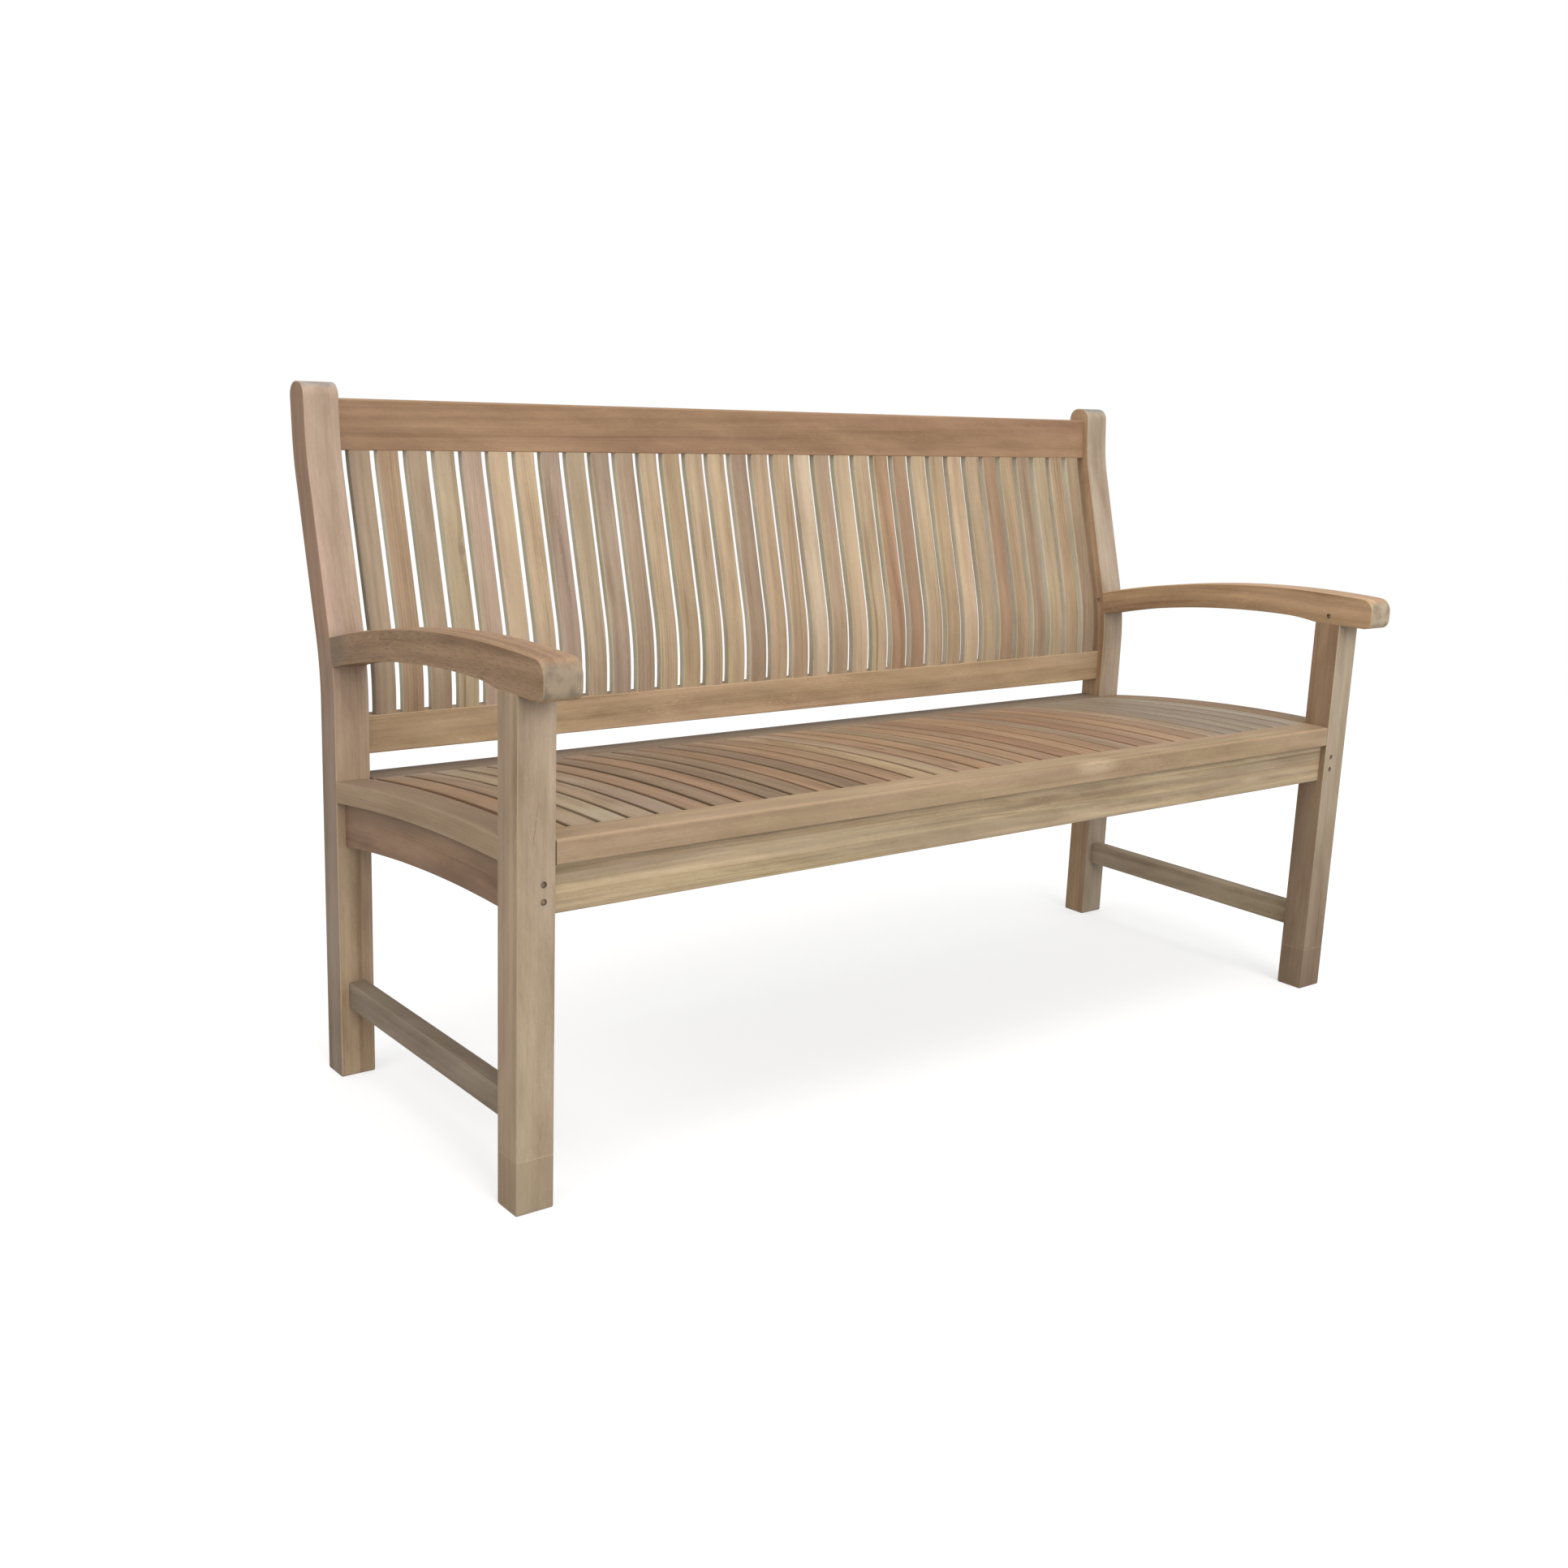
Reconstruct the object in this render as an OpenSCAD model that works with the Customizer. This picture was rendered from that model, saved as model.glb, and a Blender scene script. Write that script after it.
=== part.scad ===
// Garden bench: slatted back and seat, arched arms, pegged mortise and tenon frame.
// Millimetres. +X runs along the bench, the front faces -Y, +Z is up, and the feet stand on Z = 0.

/* [Overall] */
// Width over the outer faces of the legs
bench_w = 1500; // [1420:10:1640]
// From the front face of the front legs to the front face of the back posts
frame_d = 482; // [450:1:520]
// Height of the rounded tops of the back posts
post_h = 915; // [900:1:960]

/* [Legs and posts] */
// Width of every leg and post along the bench
leg_w = 48; // [46:0.5:56]
// Front-to-back depth of the front legs
leg_d = 45; // [44:0.5:52]
// Front-to-back depth of the back posts
post_d = 44; // [42:0.5:50]
// Height of the front legs, where the arms rest
leg_h = 600; // [590:1:610]
// Lean of the back posts in degrees, between their two bends
lean = 15; // [10:0.5:16]
// Lean that is left at the top of the back posts, in degrees
lean_top = 4; // [2:0.5:8]
// Height at which the lower bend starts
bend_low = 505; // [500:1:515]
// Height at which the upper bend starts
bend_high = 800; // [780:1:805]
// Radius of the lower bend
bend_low_r = 400; // [300:10:500]
// Radius of the upper bend
bend_high_r = 300; // [200:10:320]
// Radius of the rounded post tops
post_top_r = 18; // [8:1:20]

/* [Arms] */
// How far an arm runs out past the front leg
arm_out = 55; // [30:1:70]
// Height of the highest point of an arm
arm_top = 648.5; // [642:0.5:656]
// Radius of the arch along the top of an arm
arm_top_r = 1850; // [1700:10:2000]
// Radius of the arch along the underside of an arm
arm_under_r = 1658; // [1600:2:1700]
// Radius of the upper corner of the rounded arm end
arm_nose_r = 20; // [10:1:22]
// Radius of the lower corner of the rounded arm end
arm_chin_r = 13; // [6:1:16]

/* [Back] */
// Distance of the back's face behind the front of the posts
back_inset = 11; // [6:0.5:14]
// Front-to-back thickness of both back rails
rail_t = 25; // [22:0.5:28]
// Underside of the top rail
top_rail_z = 829; // [820:1:835]
// Height of the top rail
top_rail_h = 66; // [55:1:70]
// Underside of the lower back rail
low_rail_z = 440; // [432:1:446]
// Height of the lower back rail
low_rail_h = 51; // [44:1:56]
// Width of a back slat
slat_w = 29.5; // [24:0.5:31]
// Thickness of a back slat
slat_t = 11; // [10:0.5:14]
// Gap between the outermost back slat and the post
slat_end_gap = 14; // [8:0.5:18]

/* [Seat] */
// Height of the highest line of the seat
seat_z = 438; // [430:1:440]
// Radius of the seat's front-to-back curve
seat_r = 3000; // [2800:50:4000]
// Thickness of the seat's front rail, rear rail and end boards
seat_t = 29; // [26:0.5:31]
// Front-to-back depth of the seat's front rail
seat_front_d = 44; // [40:0.5:44]
// Width of the end boards
end_board_w = 45; // [42:0.5:46]
// Width of a seat slat
seat_slat_w = 31; // [27:0.5:33]
// Thickness of a seat slat
seat_slat_t = 15; // [13:0.5:17]

/* [Aprons and stretchers] */
// Distance of the front apron behind the face of the front legs
front_inset = 10; // [8:0.5:12]
// Distance of the side aprons and stretchers behind the outer face of the legs
side_inset = 12; // [8:0.5:13]
// Thickness of the aprons and stretchers
board_t = 25; // [22:0.5:26]
// Lowest line of the front apron
apron_z = 349; // [340:1:355]
// Radius of the arched lower edge of the side aprons
apron_r = 2412; // [2300:2:3000]
// Underside of the side stretchers
stretcher_z = 97; // [60:1:200]
// Height of the side stretchers
stretcher_h = 36; // [30:1:45]

/* [Joints] */
// Thickness of the tenons
tenon_t = 12; // [8:0.5:12]
// Length of the tenons of the front apron, rear apron and rails
tenon_l = 30; // [20:1:32]
// Shoulder that is cut away above and below a tenon
shoulder = 8; // [5:0.5:9]
// Diameter of the wooden pegs
peg_d = 8; // [6:0.5:9]
// Depth of the peg ends below the wood's surface
peg_sink = 1; // [0.5:0.1:2]

/* [Hidden] */
$fn = 48;
glue = 1;                                   // room left at the bottom of every mortise
cut = 1;                                    // how far a cutter starts outside the wood
lap = 1;                                    // how far a tenon reaches back into its own board
peg_play = 0.02;                            // difference in diameter between a bore and its peg
arc_steps = 24;                             // straight steps along a long arch

// Back curve: height and setback where each stretch of the lean ends
low_end_z = bend_low + bend_low_r * sin(lean);
low_end_y = bend_low_r * (1 - cos(lean));
high_y = low_end_y + (bend_high - low_end_z) * tan(lean);
high_end_z = bend_high + bend_high_r * (sin(lean) - sin(lean_top));
high_end_y = high_y + bend_high_r * (cos(lean_top) - cos(lean));

// Lean of the back in degrees at height z
function tilt(z) =
    z <= bend_low ? 0 :
    z <= low_end_z ? asin((z - bend_low) / bend_low_r) :
    z <= bend_high ? lean :
    z <= high_end_z ? asin(sin(lean) - (z - bend_high) / bend_high_r) :
    lean_top;

// Setback of the posts' front face at height z, from where it stands at the floor
function setback(z) =
    z <= bend_low ? 0 :
    z <= low_end_z ? bend_low_r * (1 - cos(tilt(z))) :
    z <= bend_high ? low_end_y + (z - low_end_z) * tan(lean) :
    z <= high_end_z ? high_y + bend_high_r * (cos(tilt(z)) - cos(lean)) :
    high_end_y + (z - high_end_z) * tan(lean_top);

// Overall depth, and where the front legs and the back posts stand in it
post_back = frame_d + setback(post_h - post_top_r) + post_d / cos(lean_top);
overall_d = arm_out + post_back;
leg_y = arm_out - overall_d / 2;
leg_back = leg_y + leg_d;
post_y = leg_y + frame_d;
outer_x = bench_w / 2;
inner_x = outer_x - leg_w;                  // inner face of the legs and posts

// Heights at which the back curve takes a new direction
bend_rungs = concat(
    [for (i = [0:6]) bend_low + bend_low_r * sin(lean * i / 6)],
    [for (i = [0:4]) bend_high + bend_high_r * (sin(lean) - sin(lean - (lean - lean_top) * i / 4))]);
function rungs(z0, z1) = concat([z0], [for (z = bend_rungs) if (z > z0 + 0.5 && z < z1 - 0.5) z], [z1]);

// Point at height z that lies a given depth behind the posts' front face, square to it
function back_point(depth, z) = [post_y + setback(z) + depth / cos(tilt(z)), z];

// Outline of a board that follows the back curve between two heights
function back_band(depth0, depth1, z0, z1) =
    let (up = rungs(z0, z1), n = len(up) - 1)
    concat([for (z = up) back_point(depth0, z)], [for (i = [n:-1:0]) back_point(depth1, up[i])]);

// Points of an arc of circle in the side view, about a centre, from one angle to another
function arc(centre, r, a0, a1, n = 8) =
    [for (i = [0:n]) let (a = a0 + (a1 - a0) * i / n) centre + r * [cos(a), sin(a)]];

// Height of the seat's surface at the depth y
crown_y = leg_y + 70;
function seat_top(y) = seat_z - seat_r + sqrt(seat_r * seat_r - pow(y - crown_y, 2));

// Height of an arm's top and underside at the depth y
arm_crown_y = leg_y + 60;
arm_under_y = leg_y + 100;
arm_rise = 5;
function arm_high(y) = arm_top - arm_top_r + sqrt(arm_top_r * arm_top_r - pow(y - arm_crown_y, 2));
function arm_low(y) =
    y <= leg_back ? leg_h :
    y <= arm_under_y ? leg_h + arm_rise * sin(90 * (y - leg_back) / (arm_under_y - leg_back)) :
    leg_h + arm_rise - arm_under_r + sqrt(arm_under_r * arm_under_r - pow(y - arm_under_y, 2));

// Height of a side apron's lower edge at the depth y
apron_crown_y = leg_y + 112;
function apron_low(y) = apron_z - apron_r + sqrt(apron_r * apron_r - pow(y - apron_crown_y, 2));

// Depths and heights of the seat's parts
seat_front_y = leg_y + seat_front_d;        // back of the front rail
seat_front_gap = 2.5;                       // between the front rail's ends and the legs
seat_front_r = 4;                           // rounded upper front edge of the front rail
seat_rear_y = post_y - 10;                  // front of the rear rail
seat_rear_d = 48;
seat_rear_top = seat_top(seat_rear_y);
seat_rear_low = seat_rear_top - seat_t;
seat_clear_x = outer_x - end_board_w;       // inner edge of the end boards

// Aprons and stretchers
front_apron_y = leg_y + front_inset;
front_apron_top = seat_z - seat_t - 1;
rear_apron_y = post_y + 12;
rear_apron_z = apron_low(post_y);
side_x = outer_x - side_inset;              // outer face of the side aprons and stretchers
tenon_in = (board_t - tenon_t) / 2;         // wood in front of an apron's tenon
rail_in = (rail_t - tenon_t) / 2;           // wood in front of a back rail's tenon
side_tenon_l = 14;
stretcher_tenon_l = 25;
tongue_t = 8;                               // tongue along the top of the front and rear aprons
tongue_h = 8;

// Short tenons of the end boards, the seat's rear rail, the batten and the brace
end_tenon = [20, 12, 10];
rear_rail_tenon = [20, 12, 14];
rear_rail_tenon_y = post_y + 16;
batten_y = leg_y + 245;
batten_d = 40;
batten_z = 396;
batten_tenon = [12, 24, 8];
batten_tenon_z = 405;
brace_t = 25;
brace_drop = 8;                             // height of the brace's lower edge over the aprons'
brace_tenon = [10, 10, 24];
brace_front_z = 362;
brace_rear_z = 336;

// Joints of the arms
arm_tenon = 24;                             // width and height of the tenons at an arm's two ends
arm_tenon_z = 570;
arm_tenon_y = post_y + setback(arm_tenon_z + arm_tenon / 2);
leg_tenon_h = 28;
leg_mid_x = outer_x - leg_w / 2;
leg_mid_y = leg_y + leg_d / 2;

// Pegs: where each one goes in, and how long it is
peg_l = 36;
apron_peg_x = inner_x + 15;
apron_peg_z = [apron_z + 19, apron_z + 39];
arm_peg_z = leg_h + 12;
post_peg_y = arm_tenon_y + arm_tenon / 2;
post_peg_z = arm_tenon_z + arm_tenon / 2;

// Slat rows
back_slats = 34;
back_pitch = (2 * inner_x - 2 * slat_end_gap - slat_w) / (back_slats - 1);
back_tongue = [slat_w - 8, 7, 12];          // width, thickness and length
back_tongue_in = 2;                         // wood in front of the tongue
seat_slats = 35;
seat_groups = 5;
slats_per_group = seat_slats / seat_groups;
seat_gap = (2 * seat_clear_x - seat_slats * seat_slat_w) / (seat_slats + 1);
seat_pitch = seat_slat_w + seat_gap;
seat_tongue = [seat_slat_w - 8, 10, 8];     // width, length and thickness
function back_slat_x(k) = -inner_x + slat_end_gap + slat_w / 2 + (k - 1) * back_pitch;
function seat_slat_x(k) = -seat_clear_x + seat_gap + seat_slat_w / 2 + (k - 1) * seat_pitch;

leg_wood = "Tan";
rail_wood = "BurlyWood";
slat_wood = "Wheat";
under_wood = "RosyBrown";
peg_wood = "SaddleBrown";

function two_digits(k) = str(k < 10 ? "0" : "", k);
function back_slat_name(k) = str("back_slat_", two_digits(k));
function seat_slats_name(g) = str("seat_slats_", g);

// ---- Building blocks ----

// A block between two corners
module block(low, high) {
    translate(low) cube(high - low);
}

// A side-view outline, made solid from x0 to x1
module solid_x(outline, x0, x1) {
    translate([x0, 0, 0]) rotate([90, 0, 90]) linear_extrude(x1 - x0) polygon(outline);
}

// The same piece on the other end of the bench
module left_hand() {
    mirror([1, 0, 0]) children();
}

// The same shape at both ends of the bench
module both_ends() {
    children();
    left_hand() children();
}

// A bore or a peg that runs back from a front face
module rod_y(x, y, z, d, l) {
    translate([x, y, z]) rotate([-90, 0, 0]) cylinder(d = d, h = l);
}

// A bore or a peg that runs outwards from an inner face
module rod_x(x, y, z, d, l) {
    translate([x, y, z]) rotate([0, 90, 0]) cylinder(d = d, h = l);
}

// ---- Tenons: "more" lengthens one into its mortise ----

module front_apron_tenon(more = 0) {
    block([inner_x - lap, front_apron_y + tenon_in, apron_z + shoulder],
          [inner_x + tenon_l + more, front_apron_y + tenon_in + tenon_t, front_apron_top - shoulder]);
}

module rear_apron_tenon(more = 0) {
    block([inner_x - lap, rear_apron_y + tenon_in, rear_apron_z + shoulder],
          [inner_x + tenon_l + more, rear_apron_y + tenon_in + tenon_t, seat_rear_low - shoulder]);
}

module top_rail_tenon(more = 0) {
    solid_x(back_band(back_inset + rail_in, back_inset + rail_in + tenon_t,
                      top_rail_z + shoulder, top_rail_z + top_rail_h - shoulder),
            inner_x - lap, inner_x + tenon_l + more);
}

module low_rail_tenon(more = 0) {
    y = post_y + back_inset + rail_in;
    block([inner_x - lap, y, low_rail_z + shoulder],
          [inner_x + tenon_l + more, y + tenon_t, low_rail_z + low_rail_h - shoulder]);
}

module seat_rear_tenon(more = 0) {
    z = seat_rear_low + (seat_t - rear_rail_tenon[2]) / 2;
    block([inner_x - lap, rear_rail_tenon_y, z],
          [inner_x + rear_rail_tenon[0] + more, rear_rail_tenon_y + rear_rail_tenon[1],
           z + rear_rail_tenon[2]]);
}

// Both tenons of a side apron
module side_apron_tenons(more = 0) {
    x = side_x - board_t + tenon_in;
    block([x, leg_back - side_tenon_l - more, apron_low(leg_back) + shoulder],
          [x + tenon_t, leg_back + lap, seat_top(leg_back) - seat_t - shoulder]);
    block([x, post_y - lap, apron_low(post_y) + shoulder],
          [x + tenon_t, post_y + side_tenon_l + more, seat_top(post_y) - seat_t - shoulder]);
}

// Both tenons of a side stretcher
module stretcher_tenons(more = 0) {
    x = side_x - board_t + tenon_in;
    block([x, leg_back - stretcher_tenon_l - more, stretcher_z + shoulder],
          [x + tenon_t, leg_back + lap, stretcher_z + stretcher_h - shoulder]);
    block([x, post_y - lap, stretcher_z + shoulder],
          [x + tenon_t, post_y + stretcher_tenon_l + more, stretcher_z + stretcher_h - shoulder]);
}

// Both tenons of an end board
module end_board_tenons(more = 0) {
    x = leg_mid_x - end_tenon[0] / 2;
    z_front = seat_top(leg_back) - (seat_t + end_tenon[2]) / 2;
    z_rear = seat_top(post_y) - (seat_t + end_tenon[2]) / 2;
    block([x, leg_back - end_tenon[1] - more, z_front],
          [x + end_tenon[0], leg_back + lap, z_front + end_tenon[2]]);
    block([x, post_y - lap, z_rear],
          [x + end_tenon[0], post_y + end_tenon[1] + more, z_rear + end_tenon[2]]);
}

// Tenon at the back of an arm, in the post
module arm_rear_tenon(more = 0) {
    block([leg_mid_x - arm_tenon / 2, arm_tenon_y - 4 * lap, arm_tenon_z],
          [leg_mid_x + arm_tenon / 2, arm_tenon_y + arm_tenon + more, arm_tenon_z + arm_tenon]);
}

// Tenon on top of a front leg, in the arm
module leg_top_tenon(more = 0) {
    block([leg_mid_x - arm_tenon / 2, leg_mid_y - arm_tenon / 2, leg_h - lap],
          [leg_mid_x + arm_tenon / 2, leg_mid_y + arm_tenon / 2, leg_h + leg_tenon_h + more]);
}

module batten_tenon_x(more = 0) {
    y = batten_y + (batten_d - batten_tenon[1]) / 2;
    block([seat_clear_x - lap, y, batten_tenon_z],
          [seat_clear_x + batten_tenon[0] + more, y + batten_tenon[1], batten_tenon_z + batten_tenon[2]]);
}

// Both tenons of the centre brace
module brace_tenons(more = 0) {
    half = brace_tenon[1] / 2;
    front = front_apron_y + board_t;
    block([-half, front - brace_tenon[0] - more, brace_front_z],
          [half, front + lap, brace_front_z + brace_tenon[2]]);
    block([-half, rear_apron_y - lap, brace_rear_z],
          [half, rear_apron_y + brace_tenon[0] + more, brace_rear_z + brace_tenon[2]]);
}

// Tongue along the top of an apron that stands at the depth y
module apron_tongue(y, z, half_l, more = 0) {
    y0 = y + (board_t - tongue_t) / 2;
    block([-half_l - more, y0, z - lap], [half_l + more, y0 + tongue_t, z + tongue_h + more]);
}

// Upper tongue of back slat k, in the top rail
module back_tongue_high(k, more = 0) {
    x = back_slat_x(k) - back_tongue[0] / 2;
    solid_x(back_band(back_inset + back_tongue_in, back_inset + back_tongue_in + back_tongue[1],
                      top_rail_z - lap, top_rail_z + back_tongue[2] + more),
            x, x + back_tongue[0]);
}

// Lower tongue of back slat k, in the lower rail
module back_tongue_low(k, more = 0) {
    x = back_slat_x(k) - back_tongue[0] / 2;
    y = post_y + back_inset + back_tongue_in;
    z = low_rail_z + low_rail_h;
    block([x, y, z - back_tongue[2] - more], [x + back_tongue[0], y + back_tongue[1], z + lap]);
}

// Tongue of seat slat k, reaching forwards or backwards from the depth y
module seat_tongue_y(k, y, way, more = 0) {
    x = seat_slat_x(k) - seat_tongue[0] / 2;
    z = seat_top(y) - (seat_slat_t + seat_tongue[2]) / 2;
    far = y + way * (seat_tongue[1] + more);
    near = y - way * lap;
    block([x, min(far, near), z], [x + seat_tongue[0], max(far, near), z + seat_tongue[2]]);
}

// ---- Pegs and their bores, at the right-hand end ----

module apron_pegs(d, sink, l) {
    for (z = apron_peg_z) {
        rod_y(apron_peg_x, leg_y + sink, z, d, l);
    }
}

module arm_peg(d, sink, l) {
    rod_x(inner_x + sink, leg_mid_y, arm_peg_z, d, l);
}

module post_peg(d, sink, l) {
    rod_x(inner_x + sink, post_peg_y, post_peg_z, d, l);
}

bore_l = peg_l + peg_sink + cut + glue;

module joint_pegs() {
    color(peg_wood) both_ends() {
        apron_pegs(peg_d - peg_play, peg_sink, peg_l);
        arm_peg(peg_d - peg_play, peg_sink, peg_l);
        post_peg(peg_d - peg_play, peg_sink, peg_l);
    }
}

// ---- Legs and posts ----

module front_leg() {
    color(leg_wood) difference() {
        union() {
            block([inner_x, leg_y, 0], [outer_x, leg_back, leg_h]);
            leg_top_tenon();
        }
        front_apron_tenon(glue);
        side_apron_tenons(glue);
        stretcher_tenons(glue);
        end_board_tenons(glue);
        apron_pegs(peg_d, -cut, bore_l);
        arm_peg(peg_d, -cut, bore_l);
    }
}

post_outline = concat(
    [for (z = rungs(0, post_h - post_top_r)) back_point(0, z)],
    arc(back_point(0, post_h - post_top_r) + [post_top_r, 0], post_top_r, 180, 90),
    arc(back_point(post_d, post_h - post_top_r) - [post_top_r, 0], post_top_r, 90, 0),
    let (up = rungs(0, post_h - post_top_r), n = len(up) - 1)
        [for (i = [n:-1:0]) back_point(post_d, up[i])]);

module back_post() {
    color(leg_wood) difference() {
        solid_x(post_outline, inner_x, outer_x);
        rear_apron_tenon(glue);
        side_apron_tenons(glue);
        stretcher_tenons(glue);
        seat_rear_tenon(glue);
        end_board_tenons(glue);
        low_rail_tenon(glue);
        top_rail_tenon(glue);
        arm_rear_tenon(glue);
        post_peg(peg_d, -cut, bore_l);
    }
}

// ---- Arms ----

// Heights at which an arm's top and underside meet the post
arm_rear_high = arm_high(post_y + setback(leg_h));
arm_rear_low = arm_low(post_y + setback(leg_h - 40));
arm_front = leg_y - arm_out;

arm_outline =
    let (y_high = post_y + setback(arm_rear_high),
         y_low = post_y + setback(arm_rear_low),
         y_nose = arm_front + arm_nose_r)
    concat(
        [for (z = rungs(arm_rear_low, arm_rear_high)) back_point(0, z)],
        [for (i = [1:arc_steps]) let (y = y_high + (y_nose - y_high) * i / arc_steps) [y, arm_high(y)]],
        arc([y_nose, arm_high(y_nose) - arm_nose_r], arm_nose_r, 95, 180),
        arc([arm_front + arm_chin_r, leg_h + arm_chin_r], arm_chin_r, 180, 270),
        [for (i = [0:arc_steps - 1]) let (y = leg_back + (y_low - leg_back) * i / arc_steps)
            [y, arm_low(y)]]);

module arm() {
    color(rail_wood) difference() {
        union() {
            solid_x(arm_outline, inner_x, outer_x);
            arm_rear_tenon();
        }
        leg_top_tenon(glue);
        arm_peg(peg_d, -cut, bore_l);
        post_peg(peg_d, -cut, bore_l);
    }
}

// ---- Aprons and stretchers ----

// Outline between two curved edges, from the depth y0 to y1
side_apron_outline = concat(
    [for (i = [0:arc_steps]) let (y = leg_back + (post_y - leg_back) * i / arc_steps) [y, apron_low(y)]],
    [for (i = [arc_steps:-1:0]) let (y = leg_back + (post_y - leg_back) * i / arc_steps)
        [y, seat_top(y) - seat_t]]);

module side_apron() {
    color(under_wood) {
        solid_x(side_apron_outline, side_x - board_t, side_x);
        side_apron_tenons();
    }
}

module side_stretcher() {
    color(under_wood) {
        block([side_x - board_t, leg_back, stretcher_z],
              [side_x, post_y, stretcher_z + stretcher_h]);
        stretcher_tenons();
    }
}

module front_apron() {
    color(rail_wood) difference() {
        union() {
            block([-inner_x, front_apron_y, apron_z], [inner_x, front_apron_y + board_t, front_apron_top]);
            both_ends() front_apron_tenon();
            apron_tongue(front_apron_y, front_apron_top, inner_x - 40);
        }
        both_ends() apron_pegs(peg_d, -cut, bore_l);
        brace_tenons(glue);
    }
}

module rear_apron() {
    color(under_wood) difference() {
        union() {
            block([-inner_x, rear_apron_y, rear_apron_z], [inner_x, rear_apron_y + board_t, seat_rear_low]);
            both_ends() rear_apron_tenon();
            apron_tongue(rear_apron_y, seat_rear_low, inner_x - 40);
        }
        brace_tenons(glue);
    }
}

// ---- Back ----

module top_rail() {
    color(rail_wood) difference() {
        union() {
            solid_x(back_band(back_inset, back_inset + rail_t, top_rail_z, top_rail_z + top_rail_h),
                    -inner_x, inner_x);
            both_ends() top_rail_tenon();
        }
        for (k = [1:back_slats]) {
            back_tongue_high(k, glue);
        }
    }
}

module lower_back_rail() {
    y = post_y + back_inset;
    color(rail_wood) difference() {
        union() {
            block([-inner_x, y, low_rail_z], [inner_x, y + rail_t, low_rail_z + low_rail_h]);
            both_ends() low_rail_tenon();
        }
        for (k = [1:back_slats]) {
            back_tongue_low(k, glue);
        }
    }
}

module back_slat(k) {
    x = back_slat_x(k) - slat_w / 2;
    color(slat_wood) {
        solid_x(back_band(back_inset, back_inset + slat_t, low_rail_z + low_rail_h, top_rail_z),
                x, x + slat_w);
        back_tongue_high(k);
        back_tongue_low(k);
    }
}

// ---- Seat ----

seat_front_outline = concat(
    [[leg_y, front_apron_top]],
    arc([leg_y + seat_front_r, seat_top(leg_y) - seat_front_r], seat_front_r, 180, 90),
    [[seat_front_y, seat_top(seat_front_y)], [seat_front_y, front_apron_top]]);

module seat_front_rail() {
    half_l = inner_x - seat_front_gap;
    color(rail_wood) difference() {
        solid_x(seat_front_outline, -half_l, half_l);
        apron_tongue(front_apron_y, front_apron_top, inner_x - 40, glue);
        for (k = [1:seat_slats]) {
            seat_tongue_y(k, seat_front_y, -1, glue);
        }
    }
}

module seat_rear_rail() {
    color(rail_wood) difference() {
        union() {
            block([-inner_x, seat_rear_y, seat_rear_low], [inner_x, seat_rear_y + seat_rear_d, seat_rear_top]);
            both_ends() seat_rear_tenon();
        }
        apron_tongue(rear_apron_y, seat_rear_low, inner_x - 40, glue);
        for (k = [1:seat_slats]) {
            seat_tongue_y(k, seat_rear_y, 1, glue);
        }
    }
}

// Outline under the seat's curve, of even thickness t, from y0 to y1
function seat_band(t, y0, y1) = concat(
    [for (i = [0:arc_steps]) let (y = y0 + (y1 - y0) * i / arc_steps) [y, seat_top(y) - t]],
    [for (i = [arc_steps:-1:0]) let (y = y0 + (y1 - y0) * i / arc_steps) [y, seat_top(y)]]);

module seat_end_board() {
    color(rail_wood) difference() {
        union() {
            solid_x(seat_band(seat_t, leg_back, post_y), seat_clear_x, outer_x);
            end_board_tenons();
        }
        batten_tenon_x(glue);
    }
}

module seat_slat(k) {
    x = seat_slat_x(k) - seat_slat_w / 2;
    color(slat_wood) {
        solid_x(seat_band(seat_slat_t, seat_front_y, seat_rear_y), x, x + seat_slat_w);
        seat_tongue_y(k, seat_front_y, -1);
        seat_tongue_y(k, seat_rear_y, 1);
    }
}

module seat_slats(g) {
    for (i = [1:slats_per_group]) {
        seat_slat((g - 1) * slats_per_group + i);
    }
}

// ---- Supports under the slats ----

batten_outline = concat(
    [[batten_y + batten_d, batten_z], [batten_y, batten_z]],
    [for (i = [0:4]) let (y = batten_y + batten_d * i / 4) [y, seat_top(y) - seat_slat_t]]);

module seat_batten() {
    color(under_wood) {
        solid_x(batten_outline, -seat_clear_x, seat_clear_x);
        both_ends() batten_tenon_x();
    }
}

brace_outline =
    let (y0 = front_apron_y + board_t, y1 = rear_apron_y)
    concat(
        [for (i = [0:arc_steps]) let (y = y0 + (y1 - y0) * i / arc_steps) [y, apron_low(y) + brace_drop]],
        [for (i = [arc_steps:-1:0]) let (y = y0 + (y1 - y0) * i / arc_steps) [y, seat_top(y) - seat_t]]);

module centre_brace() {
    color(under_wood) difference() {
        union() {
            solid_x(brace_outline, -brace_t / 2, brace_t / 2);
            brace_tenons();
        }
        block([-brace_t, batten_y, batten_z], [brace_t, batten_y + batten_d, seat_z]);
    }
}

// ---- Every node ----

left_hand() front_leg();  // front_leg_left
front_leg();  // front_leg_right
left_hand() back_post();  // back_post_left
back_post();  // back_post_right
left_hand() arm();  // arm_left
arm();  // arm_right
left_hand() side_apron();  // side_apron_left
side_apron();  // side_apron_right
left_hand() side_stretcher();  // side_stretcher_left
side_stretcher();  // side_stretcher_right
front_apron();
rear_apron();
top_rail();
lower_back_rail();
seat_front_rail();
seat_rear_rail();
left_hand() seat_end_board();  // seat_end_board_left
seat_end_board();  // seat_end_board_right
seat_batten();
centre_brace();
joint_pegs();
for (k = [1:back_slats]) back_slat(k);
for (g = [1:seat_groups]) seat_slats(g);
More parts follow.
